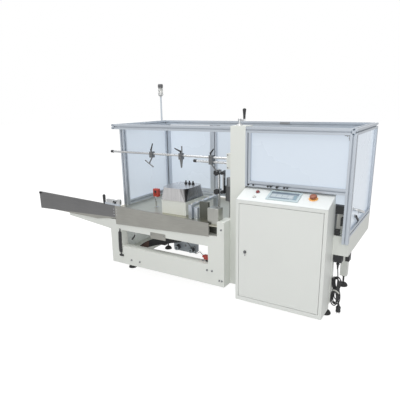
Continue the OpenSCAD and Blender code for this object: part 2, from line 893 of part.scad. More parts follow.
module magazine_extension() color(dark_sheet) placed() {
    x = [mag_left, mag_joint_x];
    sheet_wall(x, [ext_low(x[0]), ext_low(x[1])], [mag_top(x[0]), mag_top(x[1])]);
}

// The magazine's floor, with a lip that hangs behind the extension
module magazine_floor() color(stainless) placed() {
    start = mag_left + lip_start;
    bend = mag_joint_x - lip_bend;
    block([mag_left + rim_w, left_x], [0, mag_floor_d], [mag_floor_z - mag_t, mag_floor_z]);
    upright_plate(
        [[start, ext_low(start)], [bend, ext_low(bend) - lip_depth[0]],
         [mag_joint_x, ext_low(mag_joint_x) - lip_depth[1]], [mag_joint_x, mag_floor_z], [start, mag_floor_z]],
        0, mag_t
    );
}

module cantilever_arms() color(paint) placed() {
    low = head_top - arm_h_root;
    tip = left_x - arm_l;
    for (y = [mag_t, mag_floor_d - arm_t])
        upright_plate(
            [[left_x, low], [left_x, head_top], [tip, head_top], [tip, head_top - arm_h_tip]], y, arm_t
        );
}

// The clamp bar over the joint of the two walls
module magazine_clamp() color(stainless) placed() {
    low = [mag_top(bar_x[0]), mag_top(bar_x[1])];
    upright_plate(
        [[bar_x[0], low[0]], [bar_x[1], low[1]], [bar_x[1], low[1] + bar_h], [bar_x[0], low[0] + bar_h]],
        -mag_t, rim_w
    );
}

module guard_posts() color(bare_aluminium) placed() {
    profile_along_z(guard_left[0], near_post[0], [table_h, rail_low]);
    profile_along_z(guard_left[0], guard_back[0], [table_h, rail_low]);
    profile_along_z(mid_post[0], guard_back[0], [table_h, rail_low]);
    profile_along_z(guard_right[0], guard_back[0], [bay_top, rail_low]);
    profile_along_z(guard_right[0], guard_front[0], [bay_top - profile_w, rail_low]);
    profile_along_z(column_x[1], guard_front[0], [front_rail_z, rail_low]);
}

module guard_long_rails() color(bare_aluminium) placed() {
    profile_along_x([guard_left[1], column_x[0]], guard_front[0], rail_low);
    profile_along_x([column_x[1], guard_right[0]], guard_front[0], rail_low);
    profile_along_x([guard_left[1], guard_right[0]], guard_back[0], rail_low);
    profile_along_x([guard_left[1], mid_post[0]], guard_back[0], table_h);
    profile_along_x([mid_post[1], guard_right[0]], guard_back[0], bay_top);
    profile_along_x([column_x[1] + profile_w, guard_right[0]], guard_front[0], front_rail_z);
}

module guard_side_rails() color(bare_aluminium) placed() {
    profile_along_y(guard_left[0], [guard_front[0], back_y], rail_low);
    profile_along_y(guard_right[0], [guard_front[0], back_y], rail_low);
    profile_along_y(guard_left[0], [near_post[1], guard_back[0]], table_h);
    profile_along_y(guard_right[0], [guard_front[1], guard_back[0]], bay_top);
}

// A panel's span between two profiles, with its edges in their grooves
function in_grooves(low, high) = [low - groove_d, high + groove_d];
// A panel's thickness, in the middle of a profile
function in_middle(span) = [(span[0] + span[1] - panel_t) / 2, (span[0] + span[1] + panel_t) / 2];

// A panel across the front or the back, with its corners notched where the profiles meet
module panel_across(x, y, z) {
    block(in_grooves(x[0], x[1]), in_middle(y), z);
    block(x, in_middle(y), in_grooves(z[0], z[1]));
}

// A panel along a side
module panel_along(x, y, z) {
    block(in_middle(x), in_grooves(y[0], y[1]), z);
    block(in_middle(x), y, in_grooves(z[0], z[1]));
}

module guard_panels() color(pale_blue) placed() {
    panel_along(guard_left, [near_post[1], guard_back[0]], [table_h + profile_w, rail_low]);
    panel_along(guard_right, [guard_front[1], guard_back[0]], [bay_top + profile_w, rail_low]);
    panel_across([mid_post[1], guard_right[0]], guard_back, [bay_top + profile_w, rail_low]);
    panel_across([column_x[1] + profile_w, guard_right[0]], guard_front, [front_rail_z + profile_w, rail_low]);
}

// The rear door: two stiles and two rails, with the upper knuckle and leaf of each hinge
module rear_door_frame() color(bare_aluminium) placed() {
    difference() {
        block(door_x, door_y, door_z);
        block(door_inner_x, [door_y[0] - past, door_y[1] + past], door_inner_z);
    }
    for (low = hinge_zs) {
        z = [low + tongue_gap, low + knuckle_l];
        rod_along_z(knuckle_d, hinge_x, hinge_y, z);
        block([hinge_x, door_inner_x[0] - leaf_margin], [back_y, back_y + leaf_t], z);
    }
}

module rear_door_panel() color(pale_blue) placed() {
    block(door_inner_x, in_middle(door_y), door_inner_z);
}

// The fixed halves of the rear door's hinges, on the corner post
module rear_door_hinges() color(bare_aluminium) placed() {
    for (z = hinge_zs) {
        rod_along_z(knuckle_d, hinge_x, hinge_y, [z - knuckle_l, z]);
        block([guard_left[0] + leaf_margin, hinge_x], [back_y, back_y + leaf_t], [z - knuckle_l, z]);
    }
}

module lamp_pole() color(bare_aluminium) placed() {
    rod_along_z(pole_d, lamp_x, lamp_y, [rail_low, guard_h + pole_l]);
    block([lamp_x, left_x], [lamp_y - pole_d / 2, lamp_y + pole_d / 2], [rail_low, guard_h]);
}

// The lamp: a base that widens from the pole, a clear body between two rings and a bevelled cap
module alarm_lamp() color(lamp_grey) placed() {
    r = lamp_d / 2;
    lens_r = r - lens_in;
    lens_low = lamp_base[0] + lamp_base[1];
    lens_top = lamp_h - lamp_cap;
    translate([lamp_x, lamp_y, guard_h + pole_l])
        rotate_extrude()
            polygon([
                [0, 0], [r - lamp_base[0], 0], [r, lamp_base[0]], [r, lens_low], [lens_r, lens_low],
                [lens_r, lens_top], [r, lens_top], [r, lamp_h - cap_bevel], [r - cap_bevel, lamp_h], [0, lamp_h]
            ]);
}

// The column: a box section that is hollow round the lifting screw, with a slot down its left wall
// for the carriage, a bore in its cap for the crank's shaft and a bearing under the screw
module lift_column() color(paint) placed() {
    cavity_x = [column_x[0] + column_wall, column_x[1] - column_wall];
    cavity_y = [column_y[0] + column_wall, column_y[1] - column_wall];
    difference() {
        block(column_x, column_y, [foot_h, column_h]);
        block(cavity_x, cavity_y, [cavity_low, cap_low]);
        block([column_x[0] - past, cavity_x[0] + past], [rods_y - slot_w / 2, rods_y + slot_w / 2], slot_z);
        rod_along_z(shaft_d + 2 * shaft_gap, screw_x, rods_y, [cap_low - past, column_h + past]);
        rod_along_z(screw_d + 2 * shaft_gap, screw_x, rods_y, [cavity_low - bearing_h, cavity_low + past]);
    }
}

// The crank: the lifting screw inside the column, its shaft through the cap, a hub and an arm
module height_crank() color(stainless) placed() {
    arm_z = crank_top - (crank_hub[1] + crank_arm[1]) / 2;
    rod_along_z(screw_d, screw_x, rods_y, [cavity_low - bearing_h + past, cap_low - past]);
    rod_along_z(shaft_d, screw_x, rods_y, [cap_low - 2 * past, crank_top]);
    rod_along_z(crank_hub[0], screw_x, rods_y, [crank_top - crank_hub[1], crank_top]);
    translate([screw_x, rods_y, 0]) rotate(crank_turn) {
        block([0, crank_r], [-crank_arm[0] / 2, crank_arm[0] / 2], [arm_z, arm_z + crank_arm[1]]);
        rod_along_z(crank_arm[0], crank_r, 0, [arm_z, crank_top]);
    }
}

// The crank's grip, a taper that widens to its round top
module crank_grip() color(black) placed() {
    foot_r = grip_d[0] / 2;
    r = grip_d[1] / 2;
    translate([screw_x, rods_y, crank_top]) rotate(crank_turn) translate([crank_r, 0, 0])
        rotate_extrude() {
            polygon([[0, 0], [foot_r, 0], [r, grip_l - r], [0, grip_l - r]]);
            intersection() {
                translate([0, grip_l - r]) circle(r = r);
                translate([0, grip_l - r]) square(r);
            }
        }
}

// The carriage: a block beside the column with bores for the rods, a tongue through the slot
// and, inside the column, the nut's block on the lifting screw
module guide_carriage() color(paint) placed() {
    tongue = slot_w / 2 - tongue_gap;
    difference() {
        union() {
            block(carriage_x, carriage_y, carriage_z);
            block([carriage_x[1] - past, screw_x], [rods_y - tongue, rods_y + tongue], carriage_z);
            block([screw_x - nut_block_w / 2, screw_x + nut_block_w / 2],
                [rods_y - nut_block_w / 2, rods_y + nut_block_w / 2],
                [carriage_mid_z - nut_block_h / 2, carriage_mid_z + nut_block_h / 2]);
        }
        for (z = [rod_z, short_rod_z])
            rod_along_x(rod_d + 2 * clamp_gap, [carriage_x[0] - past, rod_end], rods_y, z);
        rod_along_z(screw_d + 2 * nut_gap, screw_x, rods_y, [carriage_z[0] - past, carriage_z[1] + past]);
    }
}

module guide_rods() color(bare_aluminium) placed() {
    rod_along_x(rod_d, [rod_left, rod_end], rods_y, rod_z);
    rod_along_x(rod_d, [short_rod_left, rod_end], rods_y, short_rod_z);
}

// A clamp's block, bored for the rods that run through it at the heights given
module rod_clamp(x, low, rod_zs) {
    difference() {
        union() {
            block([x - clamp_w / 2, x + clamp_w / 2],
                [rods_y - clamp_half, rods_y + clamp_half], [low, clamp_top]);
            children();
        }
        for (z = rod_zs)
            rod_along_x(rod_d + 2 * clamp_gap, [x - clamp_w, x + clamp_w], rods_y, z);
    }
}

// The three clamps: one with a leaning bar and a cross bar, one with a pin and a cone,
// and one that grips both rods and carries a leaning bar
module rod_clamps() color(cast_grey) placed() {
    rod_clamp(clamp_xs[0], clamp_low, [rod_z])
        translate([clamp_xs[0], rods_y, clamp_low]) rotate([0, 180 - lower_bar_lean[0], 0]) {
            translate([0, 0, -past]) cylinder(d = bar_d, h = lower_bar_l[0] + past);
            rod_along_x(bar_d, [-cross_bar_l / 2, cross_bar_l / 2], 0, lower_bar_l[0]);
        }
    rod_clamp(clamp_xs[1], clamp_low, [rod_z]) {
        rod_along_z(bar_d, clamp_xs[1] + clamp_w / 4, rods_y, [clamp_top - past, rod_z + pin_h]);
        translate([clamp_xs[1], rods_y, clamp_low - cone_size[1]])
            cylinder(d1 = bar_d, d2 = cone_size[0], h = cone_size[1] + past);
    }
    rod_clamp(clamp_xs[2], short_rod_z - clamp_half, [rod_z, short_rod_z])
        translate([clamp_xs[2], rods_y, short_rod_z - clamp_half]) rotate([0, 180 - lower_bar_lean[1], 0])
            translate([0, 0, -past]) cylinder(d = bar_d, h = lower_bar_l[1] + past);
}

// The clamps' levers on their stems, and the caps on the rods' ends
module clamp_levers() color(black) placed() {
    for (i = [0:2])
        translate([clamp_xs[i] - clamp_w / 4, rods_y, clamp_top]) {
            cylinder(d = lever_stem[0], h = lever_stem[1]);
            translate([0, 0, lever_stem[1]]) {
                sphere(d = lever_ball);
                leaning_rod(lever_d, lever_l[i], lever_lean[i]);
            }
        }
    rod_along_x(rod_cap[0], [rod_left - rod_cap[1], rod_left], rods_y, rod_z);
    rod_along_x(rod_cap[0], [short_rod_left - rod_cap[1], short_rod_left], rods_y, short_rod_z);
}

// The side guide: an upright on the deck with two clamps, whose cross rods hold a plate at the near belt
module side_guide() color(stainless) placed() {
    plate_x = [unit_left - guide_plate[0], unit_left];
    rod_along_z(upright_d, upright_px, upright_y, [table_h, table_h + upright_h]);
    for (z = clamp_zs) {
        block([upright_px - clamp_w / 2, upright_px + clamp_w / 2],
            [upright_y - clamp_half, upright_y + clamp_half], [z - clamp_half, z + clamp_half]);
        rod_along_x(cross_rod_d, [upright_px, plate_x[0] + past], upright_y, z);
    }
    block(plate_x, [upright_y - guide_plate[1] / 2, upright_y + guide_plate[1] / 2],
        [clamp_zs[1] - guide_plate[2], clamp_zs[0] + guide_plate[2]]);
}

// Black knobs: two on the side guide's clamps and two at the ends of their cross rods,
// and the knob and the upright grip of the magazine
module adjust_knobs() color(black) placed() {
    front = upright_y - clamp_half;
    rod_front = upright_y - guide_plate[1] / 2;
    for (z = clamp_zs) {
        rod_along_y(knob_stem[0], upright_px, [front - knob_stem[1], front], z);
        translate([upright_px, front - knob_stem[1], z])
            rotate([90, 0, 0]) linear_extrude(knob_size[1]) lobed(knob_size[0]);
        rod_along_y(small_knob_size[0], unit_left - guide_plate[0] / 2,
            [rod_front - small_knob_size[1], rod_front], z);
    }
    translate([mag_joint_x, rim_w / 2 - mag_t, mag_top(mag_joint_x - mag_knob[0] / 2) + bar_h])
        linear_extrude(mag_knob[1]) lobed(mag_knob[0]);
    translate([bar_x[0] - mag_grip[0] / 2, rim_w / 2 - mag_t, mag_top(bar_x[0] - mag_grip[0])])
        cylinder(d1 = rim_w, d2 = mag_grip[0], h = mag_grip[1]);
}

// The forming hood: its corners are tight at the foot and widen to its top
module forming_hood() color(stainless) placed() {
    translate([hood_box_x[0], hood_box_y[0], hood_low])
        hull() {
            linear_extrude(past) round_cornered(hood_l, hood_d, hood_r[0]);
            translate([0, 0, hood_h - past]) linear_extrude(past) round_cornered(hood_l, hood_d, hood_r[1]);
        }
}

module hood_pedestal() color(paint) placed() {
    block([hood_box_x[0] + pedestal_in, hood_box_x[1] - pedestal_in],
        [hood_box_y[0] + pedestal_in, hood_box_y[0] + pedestal_d], [table_h, hood_low]);
}

// The flap rail along the bed on its two legs, and the guide post beside it
module flap_rail() color(stainless) placed() {
    block(rail_x, rail_y, rail_z);
    for (y = [rail_y[0], rail_y[1] - rail_size[0]]) block(rail_x, [y, y + rail_size[0]], [table_h, rail_z[0]]);
    rod_along_z(guide_post_d, guide_post_x, rail_y[0] + rail_size[0], [table_h, rail_z[0]]);
}

module rail_bracket() color(cast_grey) placed() {
    box_at([bracket_x, rail_y[0] + rail_size[0], table_h], rail_bracket_size);
}

// The suction cups on the hood: folds of rubber, each narrower at its top and its foot, under a stem
module suction_cups() color(black) placed() {
    bellows = [
        for (i = [0:folds - 1]) each [[cup_d[1] / 2, i * fold_h], [cup_d[0] / 2, (i + 0.5) * fold_h]]
    ];
    stem_low = folds * fold_h;
    stem_r = cup_stem[0] / 2;
    stem_top = stem_low + cup_stem[1];
    neck = [[cup_d[1] / 2, stem_low], [stem_r, stem_low], [stem_r, stem_top], [0, stem_top]];
    for (i = [0:cups - 1])
        translate([hood_box_x[1] - hood_r[1] - cup_pitch * i, hood_box_y[1] - hood_r[1], hood_top])
            rotate_extrude() polygon(concat([[0, 0]], bellows, neck));
}

// The curved belt guard under the bed, with its hanger on the cross rail
module belt_guard() color(black) placed() {
    corner = [window_x[0], sill_top];
    hanger = [corner[0] + hanger_x, corner[0] + hanger_x + hanger_w];
    upper = curve(corner + guard_start, corner + guard_bend, corner + guard_end);
    lower = curve(
        corner + guard_start + [belt_guard_h, 0], corner + guard_bend - [0, 2 * belt_guard_h],
        corner + guard_end - [0, guard_end_h]
    );
    upright_plate(concat(upper, backwards(lower)), cross_y[0], belt_guard_t);
    block(hanger, [cross_y[0], cross_y[0] + belt_guard_t], [sill_top + guard_start[0], cross_low]);
}

// The tape head: a plate under the cross rail with its lower corners cut away, and two rollers on its front
module tape_head() color(stainless) placed() {
    x = [window_x[0] + tape_x, window_x[0] + tape_x + tape_plate[0]];
    z = [sill_top - tape_drop, cross_low];
    back = cross_y[1];
    front = back - tape_plate[1];
    upright_plate(
        [[x[0] + tape_cut, z[0]], [x[1] - tape_cut, z[0]], [x[1], z[0] + tape_cut], [x[1], z[1]], [x[0], z[1]],
         [x[0], z[0] + tape_cut]],
        front, tape_plate[1]
    );
    for (roller_x = [x[0] + tape_inset[0], x[1] - tape_inset[0]])
        rod_along_y(tape_roller[0], roller_x, [front - tape_roller[1], front], z[0] + tape_inset[1]);
}

// The red sensor on its leg beside the hood, and the red switch on the sill
module sensor_block() color(signal_red) placed() {
    corner = [sensor_x - sensor_size[0], hood_box_y[0] + sensor_y, table_h + sensor_z];
    stand_x = corner[0] + (sensor_size[0] - sensor_leg) / 2;
    box_at(corner, sensor_size);
    box_at([stand_x, corner[1], table_h], [sensor_leg, sensor_leg, sensor_z + past]);
    box_at([window_x[1] - switch_size[0], tube_d - switch_gap - switch_size[1], sill_top], switch_size);
}

// Two belts that run round upright rollers, each with a cover and two feet
module side_belts() color(dark_sheet) placed() {
    cover_l = unit_l - 2 * cover_in;
    cover_d = unit_d - 2 * cover_in;
    for (y = unit_ys) {
        foot_span = [y + cover_in, y + cover_in + cover_d];
        translate([unit_left, y, unit_z]) linear_extrude(belt_h) round_ended(unit_l, unit_d);
        translate([unit_left + cover_in, y + cover_in, unit_z + belt_h])
            linear_extrude(unit_cover_h) round_ended(cover_l, cover_d);
        block([partition_x - unit_foot_l, partition_x], foot_span, [table_h, unit_z]);
        block([leg_span[0], leg_span[0] + unit_foot_l], foot_span, [bay_top, unit_z]);
    }
}

// The rollers of the right bay, between its two long beams
module outfeed_rollers() color(stainless) placed() {
    first = column_x[1] + roller_start;
    for (i = [0:rollers - 1])
        rod_along_y(roller_d, first + roller_pitch * i, bay_between, bay_top - roller_d / 2);
}

// The cabinet's side outline in YZ, drawn inwards by a margin
module cabinet_outline(inwards) {
    polygon([
        [cab_front + inwards, cab_z + inwards], [cab_back - inwards, cab_z + inwards],
        [cab_back - inwards, cab_top + console_rise - inwards], [cab_front + inwards, cab_top - inwards]
    ]);
}

module along_x(x) {
    translate([x[0], 0, 0]) rotate([90, 0, 90]) linear_extrude(x[1] - x[0]) children();
}

// The cabinet: a folded shell, open behind its door, with a pivot pin over and under the door
module cabinet_body() color(paint) placed() {
    difference() {
        along_x([cab_x, cab_right]) cabinet_outline(0);
        along_x([cab_x + cab_t, cab_right - cab_t]) cabinet_outline(cab_t);
        block(cab_door_x, [cab_front - past, cab_front + cab_t + past], cab_door_z);
    }
    low_pin = [cab_door_z[0] - past, cab_door_z[0] + pivot_l];
    top_pin = [cab_door_z[1] - pivot_l, cab_door_z[1] + past];
    for (z = [low_pin, top_pin]) rod_along_z(pivot_d, cab_hinge_x, cab_hinge_y, z);
}

// The door: a pan with a solid edge for its pivots
module cabinet_door() color(paint) placed() {
    x = [cab_door_x[0] + cab_door_gap, cab_door_x[1] - cab_door_gap];
    z = [cab_door_z[0] + cab_door_gap, cab_door_z[1] - cab_door_gap];
    y = [cab_front, cab_front + cab_door_t];
    difference() {
        block(x, y, z);
        block([x[0] + cab_t, x[1] - pivot_edge], [y[0] + cab_t, y[1] + past], [z[0] + cab_t, z[1] - cab_t]);
        rod_along_z(pivot_d + 2 * shaft_gap, cab_hinge_x, cab_hinge_y, [z[0] - past, z[1] + past]);
    }
}

module door_latch() color(stainless) placed() {
    x = cab_door_x[0] + latch_x;
    z = (cab_door_z[0] + cab_door_z[1]) / 2;
    front = cab_front - latch_plate[1];
    rod_along_y(latch_plate[0], x, [front, cab_front], z);
    box_at([x - latch_grip[0] / 2, front - latch_grip[1], z - latch_grip[2] / 2], latch_grip);
}

module mounting_plate() color(bare_aluminium) placed() {
    back = cab_back - cab_t;
    block([cab_x + plate_in, cab_right - plate_in], [back - plate_t, back],
        [cab_z + plate_in, cab_top - plate_in]);
}

// Moves pieces to the console's slope, measured along X from the cabinet's left side and up the slope
module on_console() {
    translate([cab_x, cab_front, cab_top]) rotate([slope, 0, 0]) children();
}

module console_plate() color(console_white) placed() {
    on_console() cube([cab_w, console_l, console_t]);
}

// The touch screen: a bezel with the display sunk into it
module touch_screen() color(screen_blue) placed() {
    on_console()
        translate([screen_at[0], screen_at[1], console_t])
            difference() {
                cube([screen_w, screen_l, screen_t]);
                translate([screen_rim, screen_rim, screen_t - screen_recess])
                    cube([screen_w - 2 * screen_rim, screen_l - 2 * screen_rim, screen_t]);
            }
}

module emergency_stop() color(signal_red) placed() {
    on_console() translate([cab_w - stop_in, console_mid + stop_up, console_t]) {
        cylinder(d = stop_collar[0], h = stop_collar[1]);
        cylinder(d = stop_neck[0], h = stop_collar[1] + stop_neck[1]);
        translate([0, 0, stop_collar[1] + stop_neck[1]]) cylinder(d = stop_head[0], h = stop_head[1]);
    }
}

module console_buttons() color(signal_red) placed() {
    on_console()
        for (i = [0:1])
            translate([button_x, console_mid + button_ups[i], console_t])
                cylinder(d = button_ds[i], h = button_hs[i]);
}

// Two boxes behind the right front post and one on the bay's beam, and the bracket under the end's beam
module connector_boxes() color(black) placed() {
    right = guard_right[0] + box_lap;
    box_at([right - upper_box[0], guard_back_y, bay_top + box_zs[0]], upper_box);
    box_at([right - lower_box[0], guard_back_y, bay_top + box_zs[1]], lower_box);
    box_at([guard_right[0] - beam_box_gap - beam_box[0], bay_front[0] + beam_box_y, bay_top], beam_box);
    box_at([right_x - end_bracket[0], bay_front[1], bay_low - end_bracket[2]], end_bracket);
}

module cord_gland() color(black) placed() {
    box_low = bay_low - gland_box[1];
    block([gland_x - gland_box[0] / 2, gland_x + gland_box[0] / 2], bay_front, [box_low, bay_low]);
    translate([gland_x, lead_y, gland_low])
        cylinder(d1 = lead_d + 2 * past, d2 = gland_size[0], h = gland_size[1] + past);
}

// The lead's tube along a route, with its rings square to it and its two ends level
module lead_tube(route) {
    last = len(route) - 1;
    rings = [
        for (i = [0:last])
            let (
                ahead = route[min(i + 1, last)] - route[max(i - 1, 0)],
                along = i == 0 || i == last ? [0, 0, -1] : ahead / norm(ahead),
                across = [along[2], 0, -along[0]]
            )
                for (side = [0:tube_sides - 1])
                    let (turn = 360 * side / tube_sides)
                        route[i] + lead_d / 2 * (cos(turn) * across + [0, sin(turn), 0])
    ];
    walls = [
        for (i = [0:last - 1], side = [0:tube_sides - 1])
            let (a = i * tube_sides + side, b = i * tube_sides + (side + 1) % tube_sides)
                [a, b, b + tube_sides, a + tube_sides]
    ];
    top_end = [for (side = [tube_sides - 1:-1:0]) side];
    low_end = [for (side = [0:tube_sides - 1]) last * tube_sides + side];
    polyhedron(points = rings, faces = concat(walls, [top_end, low_end]));
}

module cord_drop() color(black) placed() {
    lead_tube(drop_route);
}

module cord_hank() color(black) placed() {
    translate([hank_x + hank_size[0] / 2, lead_y + hank_size[1] / 2, hank_low])
        rotate([90, -90, 0])
            linear_extrude(hank_size[1]) round_ended(hank_h, hank_size[0]);
}

module cord_tail() color(black) placed() {
    lead_tube(tail_route);
}

// The plug: a neck that widens to its round body
module cord_plug() color(black) placed() {
    face = -plug_l[0] - plug_l[1];
    translate(plug_at)
        rotate_extrude()
            polygon([
                [0, face], [plug_d[1] / 2, face], [plug_d[1] / 2, -plug_l[0]], [plug_d[0] / 2, 0], [0, 0]
            ]);
}

base_posts();
front_beams();
back_beams();
end_beams();
bay_beams();
left_end_panel();
partition();
table_deck();
levelling_feet();
magazine_wall();
magazine_extension();
magazine_floor();
cantilever_arms();
magazine_clamp();
guard_posts();
guard_long_rails();
guard_side_rails();
guard_panels();
rear_door_frame();
rear_door_panel();
rear_door_hinges();
lamp_pole();
alarm_lamp();
lift_column();
height_crank();
crank_grip();
guide_carriage();
guide_rods();
rod_clamps();
clamp_levers();
side_guide();
adjust_knobs();
forming_hood();
hood_pedestal();
flap_rail();
rail_bracket();
suction_cups();
belt_guard();
tape_head();
sensor_block();
side_belts();
outfeed_rollers();
cabinet_body();
cabinet_door();
door_latch();
mounting_plate();
console_plate();
touch_screen();
emergency_stop();
console_buttons();
connector_boxes();
cord_gland();
cord_drop();
cord_hank();
cord_tail();
cord_plug();
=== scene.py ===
"""Looks of a case erector: the finish of every surface, its small fittings, its mains lead and a studio."""
import math

import bmesh
import bpy
import numpy as np
from bpy.props import FloatProperty, FloatVectorProperty, PointerProperty
from mathutils import Matrix, Vector


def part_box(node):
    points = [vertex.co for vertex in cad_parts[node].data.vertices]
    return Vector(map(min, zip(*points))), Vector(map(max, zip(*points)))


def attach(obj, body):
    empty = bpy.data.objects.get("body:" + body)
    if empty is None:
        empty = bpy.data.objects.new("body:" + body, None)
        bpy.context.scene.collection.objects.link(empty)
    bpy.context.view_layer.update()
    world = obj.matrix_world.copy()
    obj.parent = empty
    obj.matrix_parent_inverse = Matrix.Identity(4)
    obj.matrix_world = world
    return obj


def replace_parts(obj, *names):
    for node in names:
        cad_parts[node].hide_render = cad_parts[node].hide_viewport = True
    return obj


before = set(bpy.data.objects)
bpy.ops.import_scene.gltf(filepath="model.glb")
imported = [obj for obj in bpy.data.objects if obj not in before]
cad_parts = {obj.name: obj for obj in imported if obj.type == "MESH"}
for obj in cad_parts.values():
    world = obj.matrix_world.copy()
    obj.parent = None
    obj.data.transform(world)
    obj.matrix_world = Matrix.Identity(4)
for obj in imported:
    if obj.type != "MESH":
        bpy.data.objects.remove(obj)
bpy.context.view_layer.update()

bl_info = {
    "name": "Case erector",
    "version": (1, 0, 0),
    "blender": (4, 5, 0),
    "location": "3D View > Sidebar > Case erector",
    "description": "Finishes, fittings, mains lead and studio of a case erector",
    "category": "Object",
}

MACHINE = "machine"
# Side of the square picture, in pixels
PICTURE = 400
# Fittings are placed in millimetres from the corner where the base's front meets the column. This is where
# the row frame's origin lies from that corner, under the machine's middle
DATUM = np.array((-667.0, 460.5, 0.0))
# Ways that a fitting can face
RIGHT, LEFT = (1, 0, 0), (-1, 0, 0)
FRONT, BACK = (0, -1, 0), (0, 1, 0)
UP, DOWN = (0, 0, 1), (0, 0, -1)


# Settings that a user would change

def colour(name, description, default):
    """A colour setting, in linear light."""
    return FloatVectorProperty(
        name=name, description=description, default=default, subtype="COLOR", size=3, min=0, max=1
    )


class FinishSettings(bpy.types.PropertyGroup):
    """Colours of the machine's finishes"""

    frame_paint: colour("Frame paint", "Paint of the base, column and carriage", (0.745, 0.765, 0.725))
    cabinet_paint: colour("Cabinet paint", "Paint of the cabinet and its door", (0.76, 0.78, 0.75))
    console_paint: colour("Console paint", "Paint of the sloped console", (0.73, 0.755, 0.745))
    # The end sheet's tint is its pale paint made lighter, as painted light from behind the sheet
    end_paint_and_painted_backlight: colour("End sheet paint", "Paint of the sheet in the base's left end", (0.92, 0.97, 0.97))
    stainless: colour("Stainless steel", "Brushed sheet of the magazine", (0.36, 0.357, 0.33))
    deck: colour("Deck", "Brushed sheet of the bed", (0.56, 0.545, 0.465))
    # The extension's sheet is the magazine's stainless darkened as painted shade, for its dimmer reflection
    dark_stainless: colour("Dark sheet", "Brushed sheet of the magazine's extension", (0.20, 0.20, 0.202))
    anodised: colour("Anodised profile", "Grooved aluminium profile of the guard", (0.52, 0.565, 0.62))
    # The panel tint also glows, as painted light from behind the sheet
    panel: colour("Guard panel", "Frosted sheet of the guard", (0.40, 0.443, 0.493))
    steel: colour("Bright steel", "Ground rods, cranks and clamps", (0.56, 0.57, 0.58))
    plastic: colour("Black plastic", "Moulded knobs, grips and boxes", (0.022, 0.023, 0.025))


def angle(name, description, degrees):
    """An angle setting, with its default in degrees."""
    return FloatProperty(name=name, description=description, default=math.radians(degrees), subtype="ANGLE")


def power(name, description, default):
    """A lamp's power setting, in watts."""
    return FloatProperty(name=name, description=description, default=default, min=0, subtype="POWER")


class StudioSettings(bpy.types.PropertyGroup):
    """The camera and the lamps"""

    focal_px: FloatProperty(name="Focal length", description="In pixels of the picture", default=409.2, min=1)
    azimuth: angle("Azimuth", "Turn of the camera from the straight front view", 31.545)
    pitch: angle("Pitch", "Tilt of the camera under the horizon", 15.685)
    roll: angle("Roll", "Turn of the camera about its own axis", -0.941)
    place: FloatVectorProperty(
        name="Camera", description="Place of the camera", default=(2.191, -3.2895, 1.642),
        subtype="TRANSLATION", unit="LENGTH",
    )
    centre_px: FloatVectorProperty(
        name="Centre", description="Where the camera's axis meets the picture, from its top left",
        default=(201.65, 216.6), size=2,
    )
    ambient: FloatProperty(name="Ambient", description="Light from all round", default=0.52, min=0)
    lean: FloatProperty(
        name="Lean", description="How much more of it comes from the right", default=0.35, min=-1, max=1
    )
    key_power: power("Key", "Power of the large lamp overhead", 190)
    fill_power: power("Fill", "Power of the lamp at the front", 50)


# Surfaces

def span(node):
    """The lowest and highest corner of a node, in millimetres from the fittings' corner."""
    return np.array(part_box(node)) * 1000 + DATUM


def row(point):
    """A place in the row frame, in metres."""
    return (np.asarray(point, float) - DATUM) / 1000


def unit(vector):
    """The vector at length one."""
    return np.asarray(vector, float) / np.linalg.norm(vector)


def posed(points, origin, along=UP, side=None):
    """Points with Z turned to along and X turned as near to side as that allows, moved to the origin."""
    z = unit(along)
    x = np.asarray(side if side is not None else (RIGHT if abs(z[0]) < 0.9 else BACK), float)
    x = unit(x - z * (x @ z))
    return points @ np.stack([x, np.cross(z, x), z]) + np.asarray(origin, float)


def revolved(profile, sides, lobes, depth):
    """Rings of a profile of (radius, height) about Z. With lobes, the radius dips by depth between them:
    r (1 - depth (1 - cos(lobes t)) / 2)."""
    turn = np.arange(sides) * 2 * np.pi / sides
    profile = np.asarray(profile, float)
    reach = profile[:, :1] * (1 - depth * (1 - np.cos(lobes * turn)) / 2)
    height = np.broadcast_to(profile[:, 1:], reach.shape)
    return np.stack([reach * np.cos(turn), reach * np.sin(turn), height], -1)


def rounded(width, depth, corner, inset=0.0, steps=5):
    """Outline of a rectangle with round corners: in each quadrant, sign (size / 2 - corner) plus the arc
    (corner - inset) (cos, sin)."""
    sign = np.array([(1, 1), (-1, 1), (-1, -1), (1, -1)], float)[:, None, :]
    turn = (np.arange(4)[:, None] + np.linspace(0, 1, steps)[None, :]) * np.pi / 2
    arc = np.stack([np.cos(turn), np.sin(turn)], -1) * (corner - inset)
    return (sign * (np.array([width, depth]) / 2 - corner) + arc).reshape(-1, 2)


def layered(outlines, heights):
    """Rings made of outlines at heights."""
    rings = [np.column_stack([outline, np.full(len(outline), z)]) for outline, z in zip(outlines, heights)]
    return np.stack(rings)


def spline(points, steps):
    """Catmull-Rom curve through the points, with that many steps between each two."""
    points = np.asarray(points, float)
    held = np.vstack([2 * points[0] - points[1], points, 2 * points[-1] - points[-2]])
    t = np.linspace(0, 1, steps, endpoint=False)[None, :, None]
    a, b, c, d = (held[i:len(held) - 3 + i, None, :] for i in range(4))
    curve = b + ((c - a) * t + (2 * a - 5 * b + 4 * c - d) * t**2 + (3 * b - a - 3 * c + d) * t**3) / 2
    return np.vstack([curve.reshape(-1, 3), points[-1:]])


def curved(profile, steps=4):
    """A profile of (radius, height) with a Catmull-Rom curve through its points."""
    return spline(np.insert(np.asarray(profile, float), 1, 0.0, axis=1), steps)[:, (0, 2)]


